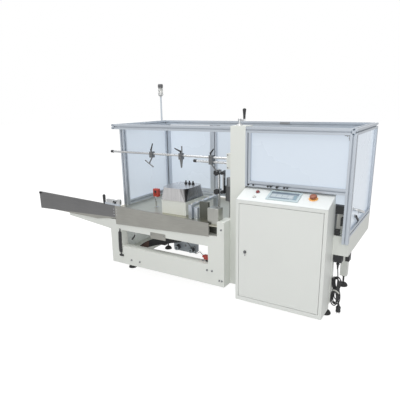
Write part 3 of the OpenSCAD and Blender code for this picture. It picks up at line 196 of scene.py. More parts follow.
def swept(path, radius, sides, up, flat):
    """Rings along a path: its tangent and up give two cross directions, and a ring is the radius times
    (cos, flat sin) of them."""
    path = np.asarray(path, float)
    along = np.gradient(path, axis=0)
    along /= np.linalg.norm(along, axis=1, keepdims=True)
    across = np.cross(along, up)
    across /= np.linalg.norm(across, axis=1, keepdims=True)
    third = np.cross(across, along)
    turn = (np.arange(sides) * 2 * np.pi / sides)[None, :, None]
    reach = np.broadcast_to(np.asarray(radius, float), len(path))[:, None, None]
    ring = np.cos(turn) * across[:, None, :] + flat * np.sin(turn) * third[:, None, :]
    return path[:, None, :] + reach * ring


class Surface:
    """Skins of rings, gathered into one object. Each skin has its own finish."""

    def __init__(self):
        self.points, self.faces, self.marks, self.finishes, self.total = [], [], [], [], 0

    def skin(self, rings, name):
        """Quads from point j to j + 1 and on to the next ring, and a face over each end."""
        count, sides = rings.shape[:2]
        i, j = np.arange(count - 1)[:, None], np.arange(sides)[None, :]
        k = (j + 1) % sides
        near, far = i * sides, (i + 1) * sides
        quads = np.stack([near + j, near + k, far + k, far + j], -1).reshape(-1, 4)
        ends = [np.arange(sides)[::-1], np.arange(sides) + (count - 1) * sides]
        if name not in self.finishes:
            self.finishes.append(name)
        faces = (quads + self.total).tolist() + [(end + self.total).tolist() for end in ends]
        self.points.append(rings.reshape(-1, 3))
        self.faces += faces
        self.marks += [self.finishes.index(name)] * len(faces)
        self.total += count * sides
        return self

    def lathe(self, profile, origin, name, along=UP, sides=28, lobes=0, depth=0.0):
        """A profile of (radius, height) turned about a line from the origin."""
        return self.skin(posed(revolved(profile, sides, lobes, depth), origin, along), name)

    def plate(self, size, origin, name, along=UP, side=None, corner=2.0, bevel=0.8):
        """A plate with round corners and edges. The origin is the middle of its underside."""
        width, depth, height = size
        corner = max(corner, bevel)
        turn = np.linspace(0, np.pi / 2, 4)
        insets = np.concatenate([bevel * (1 - np.sin(turn)), bevel * (1 - np.sin(turn[::-1]))])
        rises = np.concatenate([bevel * (1 - np.cos(turn)), height - bevel * (1 - np.cos(turn[::-1]))])
        rings = layered([rounded(width, depth, corner, inset) for inset in insets], rises)
        return self.skin(posed(rings, origin, along, side), name)

    def tube(self, path, radius, name, sides=12, up=BACK, flat=1.0):
        """A round or flattened bar along a path."""
        return self.skin(swept(path, radius, sides, up, flat), name)

    def screw(self, origin, along, head):
        """A socket screw on a washer: a head with a bevel, and on it a near-black disc, the painted shade
        of its socket.
        """
        r, h = head / 2, head * 0.62
        washer = [(r * 1.35, 0), (r * 1.35, h * 0.16), (r * 1.2, h * 0.2)]
        self.lathe([*washer, (r, h * 0.2), (r, h * 0.9), (r * 0.9, h)], origin, "bolt_steel", along, 20)
        # The near-black disc is painted shade in place of the socket's hole
        return self.lathe([(r * 0.52, h), (r * 0.5, h + 0.12)], origin, "recess", along, 6)

    def nut(self, origin, along, across, height, name="bolt_steel"):
        """A hexagon nut or bolt head with its corners turned off."""
        r = across / math.sqrt(3)
        profile = [(r * 0.9, 0), (r, height * 0.12), (r, height * 0.84), (r * 0.88, height)]
        return self.lathe(profile, origin, name, along, 6)

    def build(self, name, body=MACHINE, sharp=32.0):
        """The object, smooth but for edges over that many degrees, riding on its body."""
        mesh = bpy.data.meshes.new(name)
        mesh.from_pydata(row(np.vstack(self.points)).tolist(), [], self.faces)
        mesh.polygons.foreach_set("material_index", np.array(self.marks, np.int32))
        shell = bmesh.new()
        shell.from_mesh(mesh)
        bmesh.ops.recalc_face_normals(shell, faces=shell.faces)
        shell.to_mesh(mesh)
        shell.free()
        for used in self.finishes:
            mesh.materials.append(finish(used))
        mesh.shade_smooth()
        mesh.set_sharp_from_angle(angle=math.radians(sharp))
        piece = bpy.data.objects.new(name, mesh)
        bpy.context.scene.collection.objects.link(piece)
        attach(piece, body)
        return piece


# Nodes of a material

class Graph:
    """The nodes of a material, a world or a node group, added and linked by short calls."""

    def __init__(self, tree):
        self.tree = tree

    def add(self, kind, inputs=(), **settings):
        """A node of that kind. inputs pairs a socket's name or number with a value or an output to link."""
        node = self.tree.nodes.new(kind)
        for name, value in settings.items():
            setattr(node, name, value)
        for socket, value in inputs:
            if isinstance(value, bpy.types.NodeSocket):
                self.tree.links.new(value, node.inputs[socket])
            else:
                node.inputs[socket].default_value = value
        return node

    def math(self, operation, *values, clamp=False):
        """The result of that operation on values or outputs."""
        return self.add("ShaderNodeMath", enumerate(values), operation=operation, use_clamp=clamp).outputs[0]

    def noise(self, place, scale, detail, roughness=0.5):
        """The value of a noise texture."""
        inputs = [("Vector", place), ("Scale", scale), ("Detail", detail), ("Roughness", roughness)]
        return self.add("ShaderNodeTexNoise", inputs).outputs["Fac"]


def cleared(owner):
    """The graph of a material or a world, with no nodes left in it."""
    owner.use_nodes = True
    owner.node_tree.nodes.clear()
    return Graph(owner.node_tree)


def node_group(name, inputs, outputs):
    """An empty node group with named sockets, and its graph. One that exists comes with None for a graph."""
    found = bpy.data.node_groups.get(name)
    if found:
        return found, None
    group = bpy.data.node_groups.new(name, "ShaderNodeTree")
    for socket, kind, value in inputs:
        made = group.interface.new_socket(socket, in_out="INPUT", socket_type=kind)
        if value is not None:
            made.default_value = value
    for socket, kind in outputs:
        group.interface.new_socket(socket, in_out="OUTPUT", socket_type=kind)
    return group, Graph(group)


def mottle_group():
    """Slow change of tone and fine grain: a factor for the colour, one for the roughness, and a height."""
    group, graph = node_group(
        "Mottle",
        [("Vector", "NodeSocketVector", None), ("Scale", "NodeSocketFloat", 3.0),
         ("Grain", "NodeSocketFloat", 900.0), ("Amount", "NodeSocketFloat", 0.06)],
        [("Tone", "NodeSocketFloat"), ("Rough", "NodeSocketFloat"), ("Height", "NodeSocketFloat")],
    )
    if graph is None:
        return group
    source = graph.add("NodeGroupInput").outputs
    slow = graph.noise(source["Vector"], source["Scale"], 4.0)
    fine = graph.noise(source["Vector"], source["Grain"], 2.0)
    swing = graph.math("MULTIPLY", graph.math("SUBTRACT", slow, 0.5), source["Amount"])
    tone = graph.math("ADD", swing, 1.0)
    rough = graph.math("MULTIPLY_ADD", swing, 3.0, 1.0)
    graph.add("NodeGroupOutput", [("Tone", tone), ("Rough", rough), ("Height", fine)])
    return group


def mottled(graph, place, **values):
    """The outputs of the mottle at a place, with its inputs set by name."""
    inputs = [("Vector", place), *values.items()]
    return graph.add("ShaderNodeGroup", inputs, node_tree=mottle_group()).outputs


def brushing_group():
    """Long fine scratches along one axis: noise that is stretched by Stretch along the brushing."""
    group, graph = node_group(
        "Brushing",
        [("Vector", "NodeSocketVector", None), ("Stretch", "NodeSocketVector", (1.0, 1.0, 60.0)),
         ("Smudge", "NodeSocketFloat", 2.5)],
        [("Streak", "NodeSocketFloat"), ("Smear", "NodeSocketFloat")],
    )
    if graph is None:
        return group
    source = graph.add("NodeGroupInput").outputs
    stretched = graph.add("ShaderNodeVectorMath", [(0, source["Vector"]), (1, source["Stretch"])],
                          operation="MULTIPLY").outputs[0]
    streak = graph.noise(stretched, 8.0, 6.0, 0.65)
    smear = graph.noise(source["Vector"], source["Smudge"], 3.0)
    graph.add("NodeGroupOutput", [("Streak", streak), ("Smear", smear)])
    return group


def new_material(name):
    """An empty material with its graph, its output and a Principled BSDF."""
    material = bpy.data.materials.new(name)
    graph = cleared(material)
    shader = graph.add("ShaderNodeBsdfPrincipled")
    graph.add("ShaderNodeOutputMaterial", [("Surface", shader.outputs[0])])
    coordinates = graph.add("ShaderNodeTexCoord").outputs["Object"]
    return material, graph, shader, coordinates


def feed(graph, shader, **values):
    """Sets or links sockets of the shader: Base_Color=... stands for Base Color."""
    for name, value in values.items():
        socket = shader.inputs[name.replace("_", " ")]
        if isinstance(value, bpy.types.NodeSocket):
            graph.tree.links.new(value, socket)
        else:
            socket.default_value = value


def opaque(tint):
    """A colour with its alpha."""
    return (*tint, 1.0)


def tinted(graph, factor, tint):
    """The colour times a factor that changes over the surface."""
    grey = graph.add("ShaderNodeCombineColor", [(0, factor), (1, factor), (2, factor)]).outputs[0]
    mixed = graph.add("ShaderNodeMix", [("Factor", 1.0), (6, opaque(tint)), (7, grey)],
                      data_type="RGBA", blend_type="MULTIPLY")
    return mixed.outputs[2]


def bumped(graph, height, strength, distance):
    """A normal from a height."""
    inputs = [("Strength", strength), ("Distance", distance), ("Height", height)]
    return graph.add("ShaderNodeBump", inputs).outputs[0]


def powder_paint(name, tint, roughness=0.42):
    """Powder paint: a slow change of tone, and the fine orange peel of a baked coat."""
    material, graph, shader, place = new_material(name)
    mottle = mottled(graph, place, Grain=700.0, Amount=0.05)
    feed(graph, shader, Base_Color=tinted(graph, mottle["Tone"], tint),
         Roughness=graph.math("MULTIPLY", mottle["Rough"], roughness),
         Normal=bumped(graph, mottle["Height"], 0.05, 0.001), Specular_IOR_Level=0.45)
    return material


def painted_corner_shade(graph, tone, amount):
    """The tone, darker on a bent sheet's right face and most on its front right corner, as painted shade
    for the reflection of the dark bay: tone (1 - amount right (0.5 right + 1.7 front)), where right and front
    are the normal's shares."""
    facing = graph.add("ShaderNodeNewGeometry").outputs["True Normal"]
    right = graph.add("ShaderNodeSeparateXYZ", [(0, facing)]).outputs[0]
    aside = graph.add("ShaderNodeVectorMath", [(0, facing), (1, (0.5, -1.7, 0.0))], operation="DOT_PRODUCT")
    both = graph.math("MULTIPLY", right, aside.outputs["Value"])
    return graph.math("MULTIPLY", tone, graph.math("MULTIPLY_ADD", both, -amount, 1.0, clamp=True))


def brushed_metal(name, tint, stretch, roughness=0.34, contrast=0.22, metallic=1.0, corner=0.0):
    """Brushed sheet: streaks along an axis in tone, gloss and height, slow smears, and with corner, a painted
    shade on the right face and the front right corner.
    """
    material, graph, shader, place = new_material(name)
    inputs = [("Vector", place), ("Stretch", stretch)]
    brushing = graph.add("ShaderNodeGroup", inputs, node_tree=brushing_group()).outputs
    both = graph.math("ADD", brushing["Streak"], brushing["Smear"])
    tone = graph.math("MULTIPLY_ADD", both, contrast, 1.0 - contrast)
    rough = graph.math("MULTIPLY_ADD", both, roughness * 0.4, roughness * 0.6)
    # corner sets how strong the painted shade is on the right face and the front right corner
    if corner:
        tone = painted_corner_shade(graph, tone, corner)
    feed(graph, shader, Base_Color=tinted(graph, tone, tint), Metallic=metallic, Roughness=rough,
         Normal=bumped(graph, brushing["Streak"], 0.04, 0.0006))
    return material


def moulded(name, tint, roughness=0.45, grain=1600.0, bump=0.12):
    """Moulded plastic or rubber with a fine spark-eroded grain."""
    material, graph, shader, place = new_material(name)
    mottle = mottled(graph, place, Grain=grain, Amount=0.15)
    feed(graph, shader, Base_Color=tinted(graph, mottle["Tone"], tint),
         Roughness=graph.math("MULTIPLY", mottle["Rough"], roughness),
         Normal=bumped(graph, mottle["Height"], bump, 0.0006))
    return material


def belting(name, tint):
    """Woven belting: fine upright ribs in the height and the tone, by a wave along the belt."""
    material, graph, shader, place = new_material(name)
    inputs = [("Vector", place), ("Scale", 90.0), ("Distortion", 0.4), ("Detail", 1.0)]
    ribs = graph.add("ShaderNodeTexWave", inputs, bands_direction="X").outputs["Fac"]
    tone = graph.math("MULTIPLY_ADD", ribs, 0.3, 0.82)
    feed(graph, shader, Base_Color=tinted(graph, tone, tint), Roughness=0.62,
         Normal=bumped(graph, ribs, 0.4, 0.0008))
    return material


def clear_plastic(name, tint):
    """Clear moulded plastic with slow streaks in its roughness."""
    material, graph, shader, place = new_material(name)
    rough = graph.math("MULTIPLY", mottled(graph, place)["Rough"], 0.08)
    feed(graph, shader, Base_Color=opaque(tint), Roughness=rough, Transmission_Weight=0.85, IOR=1.49)
    return material


def frosted_sheet_with_painted_glow(name, tint):
    """Frosted guard sheet: a pale tone that drifts slowly under a soft gloss, and a glow of its own tint,
    painted light that stands in for the light from behind.
    """
    material, graph, shader, place = new_material(name)
    mottle = mottled(graph, place, Scale=1.3, Amount=0.10)
    # The emission is painted light: a glow in place of the light that comes through the sheet from behind
    feed(graph, shader, Base_Color=tinted(graph, mottle["Tone"], tint),
         Roughness=graph.math("MULTIPLY", mottle["Rough"], 0.28), Coat_Weight=0.25, Coat_Roughness=0.12,
         Emission_Color=opaque(tint), Emission_Strength=0.75)
    return material


# Finish of every node of the frame, by the name of its finish

FINISHES = {
    "frame_paint": [
        "base_posts", "front_beams", "back_beams", "end_beams", "bay_beams", "partition", "cantilever_arms",
        "lift_column", "guide_carriage", "hood_pedestal",
    ],
    "cabinet_paint": ["cabinet_body", "cabinet_door"],
    "console_paint": ["console_plate"],
    "end_paint_and_painted_backlight": ["left_end_panel"],
    "stainless": ["magazine_wall", "magazine_floor"],
    "deck": ["table_deck", "outfeed_rollers"],
    "bent_stainless": ["forming_hood"],
    "dark_stainless": ["magazine_extension"],
    "cast_zinc": ["side_belts"],
    "cast_dark_and_painted_shade": ["rail_bracket"],
    "anodised": [
        "guard_posts", "guard_long_rails", "guard_side_rails", "rear_door_frame", "rear_door_hinges",
        "lamp_pole", "flap_rail", "tape_head", "magazine_clamp",
    ],
    "panel": ["guard_panels", "rear_door_panel"],
    "bright": ["height_crank", "guide_rods", "side_guide"],
    "dark_steel": ["rod_clamps", "door_latch"],
    "zinc_plate": ["mounting_plate"],
    "moulded_black": [
        "crank_grip", "clamp_levers", "adjust_knobs", "belt_guard", "connector_boxes", "cord_gland",
        "cord_plug",
    ],
    "rubber": ["levelling_feet", "suction_cups"],
    "lead_rubber": ["cord_drop", "cord_hank", "cord_tail"],
    "bezel": ["touch_screen"],
    "signal_red": ["sensor_block", "emergency_stop", "console_buttons"],
    "lamp_grey": ["alarm_lamp"],
}


def finish(name):
    """The material of that finish, made at its first use."""
    label = "erector_" + name
    found = bpy.data.materials.get(label)
    if found:
        return found
    tints = bpy.context.scene.erector_finishes
    makers = {
        "frame_paint": lambda: powder_paint(label, tints.frame_paint),
        "cabinet_paint": lambda: powder_paint(label, tints.cabinet_paint),
        "console_paint": lambda: powder_paint(label, tints.console_paint, roughness=0.36),
        # Pale paint of the end sheet, lightened as painted light from behind it
        "end_paint_and_painted_backlight": lambda: powder_paint(label, tints.end_paint_and_painted_backlight),
        "gear_grey": lambda: powder_paint(label, (0.42, 0.43, 0.44)),
        "gear_dark": lambda: powder_paint(label, (0.06, 0.065, 0.07)),
        "stainless": lambda: brushed_metal(label, tints.stainless, (1.4, 40.0, 22.0), 0.36, 0.42),
        "deck": lambda: brushed_metal(label, tints.deck, (1.0, 60.0, 60.0)),
        # The hood's sheet, with painted shade on its right face and front right corner
        "bent_stainless": lambda: brushed_metal(
            label, (0.62, 0.615, 0.62), (7.0, 7.0, 0.3), 0.26, 0.6, corner=0.88
        ),
        # The magazine's stainless, darkened as painted shade on the extension
        "dark_stainless": lambda: brushed_metal(label, tints.dark_stainless, (1.4, 40.0, 22.0), 0.36, 0.34),
        "cast_zinc": lambda: brushed_metal(label, (0.30, 0.31, 0.32), (30.0, 30.0, 30.0), 0.5, 0.14, 0.7),
        # Dark cast metal of the rail's bracket; the same finish makes the painted shade plate beside the
        # magazine wall
        "cast_dark_and_painted_shade": lambda: brushed_metal(label, (0.125, 0.13, 0.115), (30.0, 30.0, 30.0), 0.5, 0.14, 0.7),
        "cover_steel": lambda: brushed_metal(label, (0.44, 0.445, 0.415), (22.0, 22.0, 1.4), 0.36, 0.3),
        "zinc_plate": lambda: brushed_metal(label, (0.55, 0.57, 0.58), (12.0, 12.0, 12.0), 0.4, 0.16),
        "anodised": lambda: brushed_metal(label, tints.anodised, (30.0, 30.0, 30.0), 0.36, 0.08, 0.6),
        "panel": lambda: frosted_sheet_with_painted_glow(label, tints.panel),
        "bright": lambda: brushed_metal(label, tints.steel, (40.0, 40.0, 2.0), 0.22, 0.10),
        "dark_steel": lambda: brushed_metal(label, (0.20, 0.205, 0.21), (25.0, 25.0, 25.0), 0.3, 0.16),
        "bolt_steel": lambda: brushed_metal(label, (0.32, 0.33, 0.34), (25.0, 25.0, 25.0), 0.32, 0.12),
        "moulded_black": lambda: moulded(label, tints.plastic),
        "brown_pad": lambda: moulded(label, (0.105, 0.06, 0.05), 0.5, 900.0, 0.2),
        "rubber": lambda: moulded(label, (0.02, 0.02, 0.021), 0.62, 1100.0, 0.2),
        "lead_rubber": lambda: moulded(label, (0.028, 0.028, 0.03), 0.55, 1400.0, 0.16),
        "strap": lambda: moulded(label, (0.05, 0.05, 0.055), 0.8, 700.0, 0.5),
        "belt": lambda: belting(label, (0.14, 0.145, 0.15)),
        # Near black: painted shade in sockets, slits, slots and openings drawn as thin dark pieces; the
        # sensor's lens uses it too
        "recess": lambda: moulded(label, (0.012, 0.012, 0.013), 0.7),
        "pale_plastic": lambda: moulded(label, (0.62, 0.62, 0.58), 0.4),
        "duct": lambda: moulded(label, (0.46, 0.48, 0.49), 0.5),
        "earth_green": lambda: moulded(label, (0.16, 0.30, 0.03), 0.45),
        "bezel": lambda: moulded(label, (0.47, 0.56, 0.585), 0.34),
        "display_page": lambda: moulded(label, (0.34, 0.40, 0.435), 0.1, bump=0.0),
        "display_head": lambda: moulded(label, (0.13, 0.17, 0.22), 0.1, bump=0.0),
        "display_field": lambda: moulded(label, (0.50, 0.55, 0.58), 0.1, bump=0.0),
        "display_key": lambda: moulded(label, (0.20, 0.30, 0.36), 0.1, bump=0.0),
        "signal_red": lambda: moulded(label, (0.42, 0.05, 0.035), 0.3),
        "stop_collar": lambda: moulded(label, (0.98, 0.50, 0.17), 0.3),
        "stop_red": lambda: moulded(label, (0.29, 0.09, 0.045), 0.34),
        "button_red": lambda: moulded(label, (0.22, 0.03, 0.03), 0.25),
        "lamp_grey": lambda: moulded(label, (0.52, 0.53, 0.53), 0.3),
        "lamp_cap": lambda: moulded(label, (0.10, 0.10, 0.105), 0.35),
        "lamp_core": lambda: moulded(label, (0.75, 0.75, 0.72), 0.3),
        "lamp_lens": lambda: clear_plastic(label, (0.92, 0.93, 0.92)),
    }
    return makers[name]()


class FinishFrame(bpy.types.Operator):
    """Gives every piece of the frame its finish"""

    bl_idname = "case_erector.finish_frame"
    bl_label = "Finish the frame"

    def execute(self, context):
        for name, nodes in FINISHES.items():
            for node in nodes:
                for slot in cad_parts[node].material_slots:
                    slot.material = finish(name)
        return {"FINISHED"}


# The mains lead

# Diameter of the lead, the mouth of its gland and the top of its plug
LEAD_D = 8.0
MOUTH = np.array((886.0, 185.0, 425.0))
PLUG_TOP = np.array((915.0, 185.0, 104.0))
# Middle of the hank, the turn of its plane, and its half width to the lead's middle, the radius of its folds
HANK = np.array((887.3, 185.0, 0.0))
HANK_TURN = math.radians(-28)
FOLD_R = 26.0
# Heights of the folds' middles, of the hank's first and last point, and the points in a fold
UPPER_Z = (304.0, 304.0, 294.0, 284.0, 299.0, 289.0)
LOWER_Z = (120.0, 130.0, 140.0, 124.0, 158.0)
HANK_ENDS_Z = (321.0, 150.0)
FOLD_POINTS = 15
# Height of the hank's tie, and how far and over what height it draws in each side of the hank
TIE_Z = 222.0
PINCH = (14.0, 30.0)
# Place of each layer of the hank across its thickness
LAYERS = np.linspace(-20.5, 20.5, 6)


def in_hank(points):
    """Points given across the hank, through it and by height, turned and moved to the hank's place."""
    c, s = math.cos(HANK_TURN), math.sin(HANK_TURN)
    return points @ np.array(((c, s, 0), (-s, c, 0), (0, 0, 1))) + HANK


def strand(start, end, side, level):
    """One run of the hank between two folds, drawn in at the tie by a bell curve."""
    z = start + (end - start) * np.linspace(0, 1, 16)[1:-1]
    waist = FOLD_R - PINCH[0] * np.exp(-((z - TIE_Z) / PINCH[1]) ** 2)
    return np.column_stack([side * waist, np.full(len(z), level), z])


def eased(start, end, count):
    """Points from start to end by even heights, with a smooth step to the side."""
    rise = np.linspace(0, 1, count)[:, None]
    return start + (end - start) * np.hstack([rise ** 2 * (3 - 2 * rise)] * 2 + [rise])


def lead_path():
    """The lead from its gland to its plug: down to the hank, five times round its two folds with a step to
    the next layer over each upper fold, and straight down out of the last layer."""
    half = np.linspace(0, np.pi, FOLD_POINTS)
    level = np.zeros(FOLD_POINTS)
    bend = FOLD_R * np.column_stack([np.cos(half), level, np.sin(half)])
    step = (1 - np.cos(half)) / 2
    loops = [np.array([(FOLD_R, LAYERS[0], HANK_ENDS_Z[0])])]
    for near, far, top, low, after in zip(LAYERS[:-1], LAYERS[1:], UPPER_Z[:-1], LOWER_Z, UPPER_Z[1:]):
        over = np.column_stack([level, near + (far - near) * step, level + after])
        loops += [strand(top, low, 1, near), bend * (1, 1, -1) + (0, near, low),
                  strand(low, after, -1, near), bend * (-1, 1, 1) + over]
    loops.append(strand(UPPER_Z[-1], HANK_ENDS_Z[1] + 10, 1, LAYERS[-1]))
    loops.append(np.array([(FOLD_R, LAYERS[-1], HANK_ENDS_Z[1])]))
    hank = in_hank(np.vstack(loops))
    return spline(np.vstack([eased(MOUTH, hank[0], 7)[:-1], hank, eased(hank[-1], PLUG_TOP, 6)[1:]]), 3)


class LayLead(bpy.types.Operator):
    """Lays the mains lead from its gland into its tied hank, and puts on its plug"""

    bl_idname = "case_erector.lay_lead"
    bl_label = "Lay the mains lead"

    def execute(self, context):
        path = lead_path()
        lead = Surface().tube(path, LEAD_D / 2, "lead_rubber").build("mains_lead", sharp=60.0)
        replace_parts(lead, "cord_drop", "cord_hank", "cord_tail")
        trim = [self.relief(), self.tie(), self.plug(path[-1])]
        return {"FINISHED"}

    def relief(self):
        """A ribbed sleeve that narrows from the gland to the lead: a taper plus 0.7 cos(2 pi z / 5.4)."""
        z = np.linspace(-34, 4, 77)
        radius = np.interp(z, (-34, 4), (4.6, 9.0)) + 0.7 * np.cos(z * 2 * np.pi / 5.4)
        sleeve = Surface().lathe(np.column_stack([radius, z]), MOUTH, "moulded_black", sides=24)
        sleeve.nut(MOUTH + (0, 0, 4), UP, 24, 12, "moulded_black")
        return sleeve.build("lead_relief", sharp=50.0)

    def tie(self):
        """A strap round the hank's waist with its buckle and its pale loose end."""
        outlines = [rounded(36, 55, 9, inset) for inset in (1.2, 0.2, 0.0, 0.2, 1.2)]
        strap = Surface().skin(in_hank(layered(outlines, (-12, -10, 0, 10, 12)) + (0, 0, TIE_Z)), "strap")
        across = in_hank(np.array(RIGHT, float)) - HANK
        buckle = in_hank(np.array((-4, -29, TIE_Z - 12)))
        strap.plate((14, 5, 24), buckle, "moulded_black", side=across, corner=1.5)
        loose = [(-2, -30, 2), (18, -34, 8), (38, -35, 7), (60, -33, -2)]
        end = in_hank(np.array(loose, float) + (0, 0, TIE_Z))
        strap.tube(spline(end, 6), 6, "pale_plastic", up=BACK, flat=0.5)
        return strap.build("lead_tie")

    def plug(self, end):
        """The plug: a neck ribbed by 0.6 cos(2 pi z / 4.4), a body with a waist, its face, and the pins."""
        z = np.linspace(0, -22, 45)
        neck = np.column_stack([np.interp(z, (-22, 0), (12.5, 6.2)) + 0.6 * np.cos(z * 2 * np.pi / 4.4), z])
        body = [(16, -22), (18.6, -25), (19, -30), (17.6, -38), (17.6, -48), (19, -57), (19, -63), (18, -66),
                (0.2, -66)]
        plug = Surface().lathe(np.vstack([neck, body]), end, "moulded_black", sides=32)
        pin = [(2.4, 0), (2.4, 16.5), (1.6, 19), (0.1, 19)]
        for side in (-9.5, 9.5):
            plug.lathe(pin, end + (side, 0, -66), "bright", DOWN, 16)
        piece = plug.build("lead_plug", sharp=45.0)
        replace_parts(piece, "cord_plug")
        return piece


# The guard

# Side of the guard's square profile, and the front, the back and the top of its rails
PROFILE = 45.0
GUARD_FRONT, GUARD_BACK = span("guard_long_rails")[:, 1]
GUARD_TOP = span("guard_long_rails")[1][2]
# Place along the rail over the console, diameter and reach of each of its knobs, and their height
RAIL_KNOBS = (
    (165, 15, 12), (207, 15, 12), (332, 17, 14), (356, 17, 14), (407, 20, 18), (464, 17, 14), (488, 15, 12),
)
KNOB_Z = 1000


class TrimGuard(bpy.types.Operator):
    """Puts the plates, knobs, corner brackets and handles on the guard"""

    bl_idname = "case_erector.trim_guard"
    bl_label = "Trim the guard"

    def execute(self, context):
        trim = Surface()
        self.plates(trim)
        self.knobs(trim)
        self.brackets(trim)
        trim.build("guard_trim")
        self.side_handle()
        self.rear_handle()
        return {"FINISHED"}

    def plates(self, trim):
        """The steel plate inside the back rail, and the strip of sheet under the front rail's right end."""
        trim.plate((97, 22, 4), (150, GUARD_BACK - PROFILE, GUARD_TOP - 13), "bolt_steel", FRONT, corner=3)
        trim.plate((68, 72, 5), (881, GUARD_FRONT + 25, 949), "panel", FRONT, RIGHT, corner=2)

    def knobs(self, trim):
        """A row of small knobs with six lobes along the front rail, over the console."""
        for x, d, reach in RAIL_KNOBS:
            r = d / 2
            profile = [(r * 0.5, 0), (r * 0.5, 4), (r, 5), (r, reach - 2), (r * 0.8, reach), (0.2, reach)]
            trim.lathe(profile, (x, GUARD_FRONT, KNOB_Z), "moulded_black", FRONT, 24, lobes=6, depth=0.14)

    def brackets(self, trim):
        """Cast angle brackets in the corners under the top rails, each with two screws."""
        low = GUARD_TOP - PROFILE
        front, back = GUARD_FRONT + PROFILE / 2, GUARD_BACK - PROFILE / 2
        for x, y, turn in ((-1225, back, RIGHT), (915, back, LEFT), (132, front, RIGHT), (915, front, LEFT),
                           (-585, back, RIGHT), (-630, back, LEFT)):
            for along, out in ((DOWN, turn), (turn, DOWN)):
                place = np.array((x, y, low)) + 19 * np.array(out)
                trim.plate((36, 34, 5), place, "cast_zinc", along, out, corner=3, bevel=1.2)
                trim.screw(place + 5 * np.array(along) + 3 * np.array(out), along, 9)

    def side_handle(self):
        """The bar handle and the stay on the guard's right end."""
        end = Surface()
        face = span("guard_posts")[1][0]
        bar = [(face - 22, 300, 846), (face + 14, 306, 842), (face + 24, 330, 834), (face + 24, 415, 808),
               (face + 24, 500, 782), (face + 14, 524, 774), (face - 22, 530, 770)]
        end.tube(spline(bar, 6), 9, "bright", 16, UP)
        for _, y, z in (bar[0], bar[-1]):
            end.lathe([(17, 0), (17, 4), (15, 6), (10, 7)], (face - 24, y, z), "bright", RIGHT, 24)
        stay = np.array([(face - 8, 372, 776), (face - 8, 470, 720), (face - 8, 575, 660)], float)
        end.tube(stay[:2], 9, "moulded_black", 16, RIGHT)
        end.tube(stay[1:], 4, "bright", 16, RIGHT)
        for place in (stay[0], stay[2]):
            end.lathe([(11, 0), (11, 12), (9, 14), (0.2, 14)], place - (16, 0, 0), "bolt_steel", RIGHT, 20)
        end.build("side_handle")

    def rear_handle(self):
        """The pull handle of the rear door, on its free stile."""
        x, y = span("rear_door_frame")[1][0] - 17.5, GUARD_BACK
        bar = [(x, y - 2, 985), (x, y + 22, 988), (x, y + 32, 1004), (x, y + 34, 1050), (x, y + 32, 1096),
               (x, y + 22, 1112), (x, y - 2, 1115)]
        pull = Surface().tube(spline(bar, 6), 8, "moulded_black", 16, RIGHT)
        for _, _, z in (bar[0], bar[-1]):
            pull.lathe([(14, 0), (14, 5), (11, 8), (0.2, 8)], (x, y, z), "moulded_black", BACK, 24)
        pull.build("rear_handle", "rear_door")


# The base and the magazine

# Places of the screws in the base's front and in the partition's, as X and Z
BASE_SCREWS = ((-1024, 161), (-920, 161), (-206, 320), (-167, 234), (-117, 235))
PARTITION_SCREWS = ((-27, 617), (-45, 160), (-20, 160))


class FitBase(bpy.types.Operator):
    """Puts the screws and the lever on the base, and the fittings on the magazine"""

    bl_idname = "case_erector.fit_base"
    bl_label = "Fit the base"

    def execute(self, context):
        self.screws()
        self.lever()
        self.magazine()
        return {"FINISHED"}

    def screws(self):
        """Socket screws in the base's front, the partition and the left end sheet."""
        group = Surface()
        for x, z in BASE_SCREWS:
            group.screw((x, 0, z), FRONT, 15)
        for x, z in PARTITION_SCREWS:
            group.screw((x, span("partition")[0][1], z), FRONT, 13)
        low, high = span("left_end_panel")
        for y in np.linspace(low[1] + 25, high[1] - 25, 5):
            for z in (low[2] + 20, high[2] - 20):
                group.screw((low[0], y, z), LEFT, 10)
        group.build("base_screws")

    def lever(self):
        """The black lever on the left post: a pivot boss, a flat arm and its grip."""
        x = -1146
        boss = layered([rounded(52, 20, 9.9, inset) for inset in (0, 0, 1.5)], (0, 7, 9))
        lever = Surface().skin(posed(boss, (x, 0, 193), FRONT, RIGHT), "moulded_black")
        arm = spline([(x - 2, -5, 204), (x - 5, -6, 230), (x - 6, -7, 262), (x - 5, -7, 330),
                      (x - 2, -7, 400), (x, -7, 436), (x, -6, 466)], 6)
        share = np.linspace(0, 1, len(arm))
        reach = np.interp(share, (0, 0.1, 0.16, 0.8, 0.86, 1), (6, 6, 20, 20, 9, 8))
        lever.tube(arm, reach, "moulded_black", 16, BACK, 0.4)
        lever.lathe([(6, 0), (6, 8), (4, 10), (0.2, 10)], (x, 0, 458), "bolt_steel", FRONT, 20)
        lever.build("post_lever")

    def magazine(self):
        """The bumper on the magazine's extension, the rivets beside its wall, and its clamp."""
        trim = Surface()
        far, front = span("magazine_extension")[0][:2]
        bumper = [(11, 0), (11, 9), (9, 12), (4, 13), (0.2, 13)]
        trim.lathe(bumper, (far + 16, front, 712), "moulded_black", FRONT, 28)
        rivet = [(5, 0), (4.6, 1.6), (3, 2.8), (0.2, 3.2)]
        for z in np.linspace(600, 655, 3):
            for x in (-1206, -1174):
                trim.lathe(rivet, (x, span("magazine_wall")[0][1], z), "bright", FRONT, 18)
        self.clamp(trim)
        trim.build("magazine_trim")

    def clamp(self, trim):
        """The clamp on the magazine's bar: two bright blocks, a bridge behind the knob, and a black grip."""
        for x, width, low, high in ((-1258, 84, 703, 745), (-1147, 38, 700, 752)):
            trim.plate((width, 31, high - low), (x, 12.5, low), "bright", corner=5, bevel=2.5)
        trim.plate((172, 9, 20), (-1214, 23, 722), "bright", corner=2)
        grip = [(8, 0), (10, 6), (13, 26), (14, 60), (14, 84), (12.5, 92), (8, 96), (0.2, 96)]
        trim.lathe(grip, (-1329, 3, 691), "moulded_black", sides=28)


# The height column

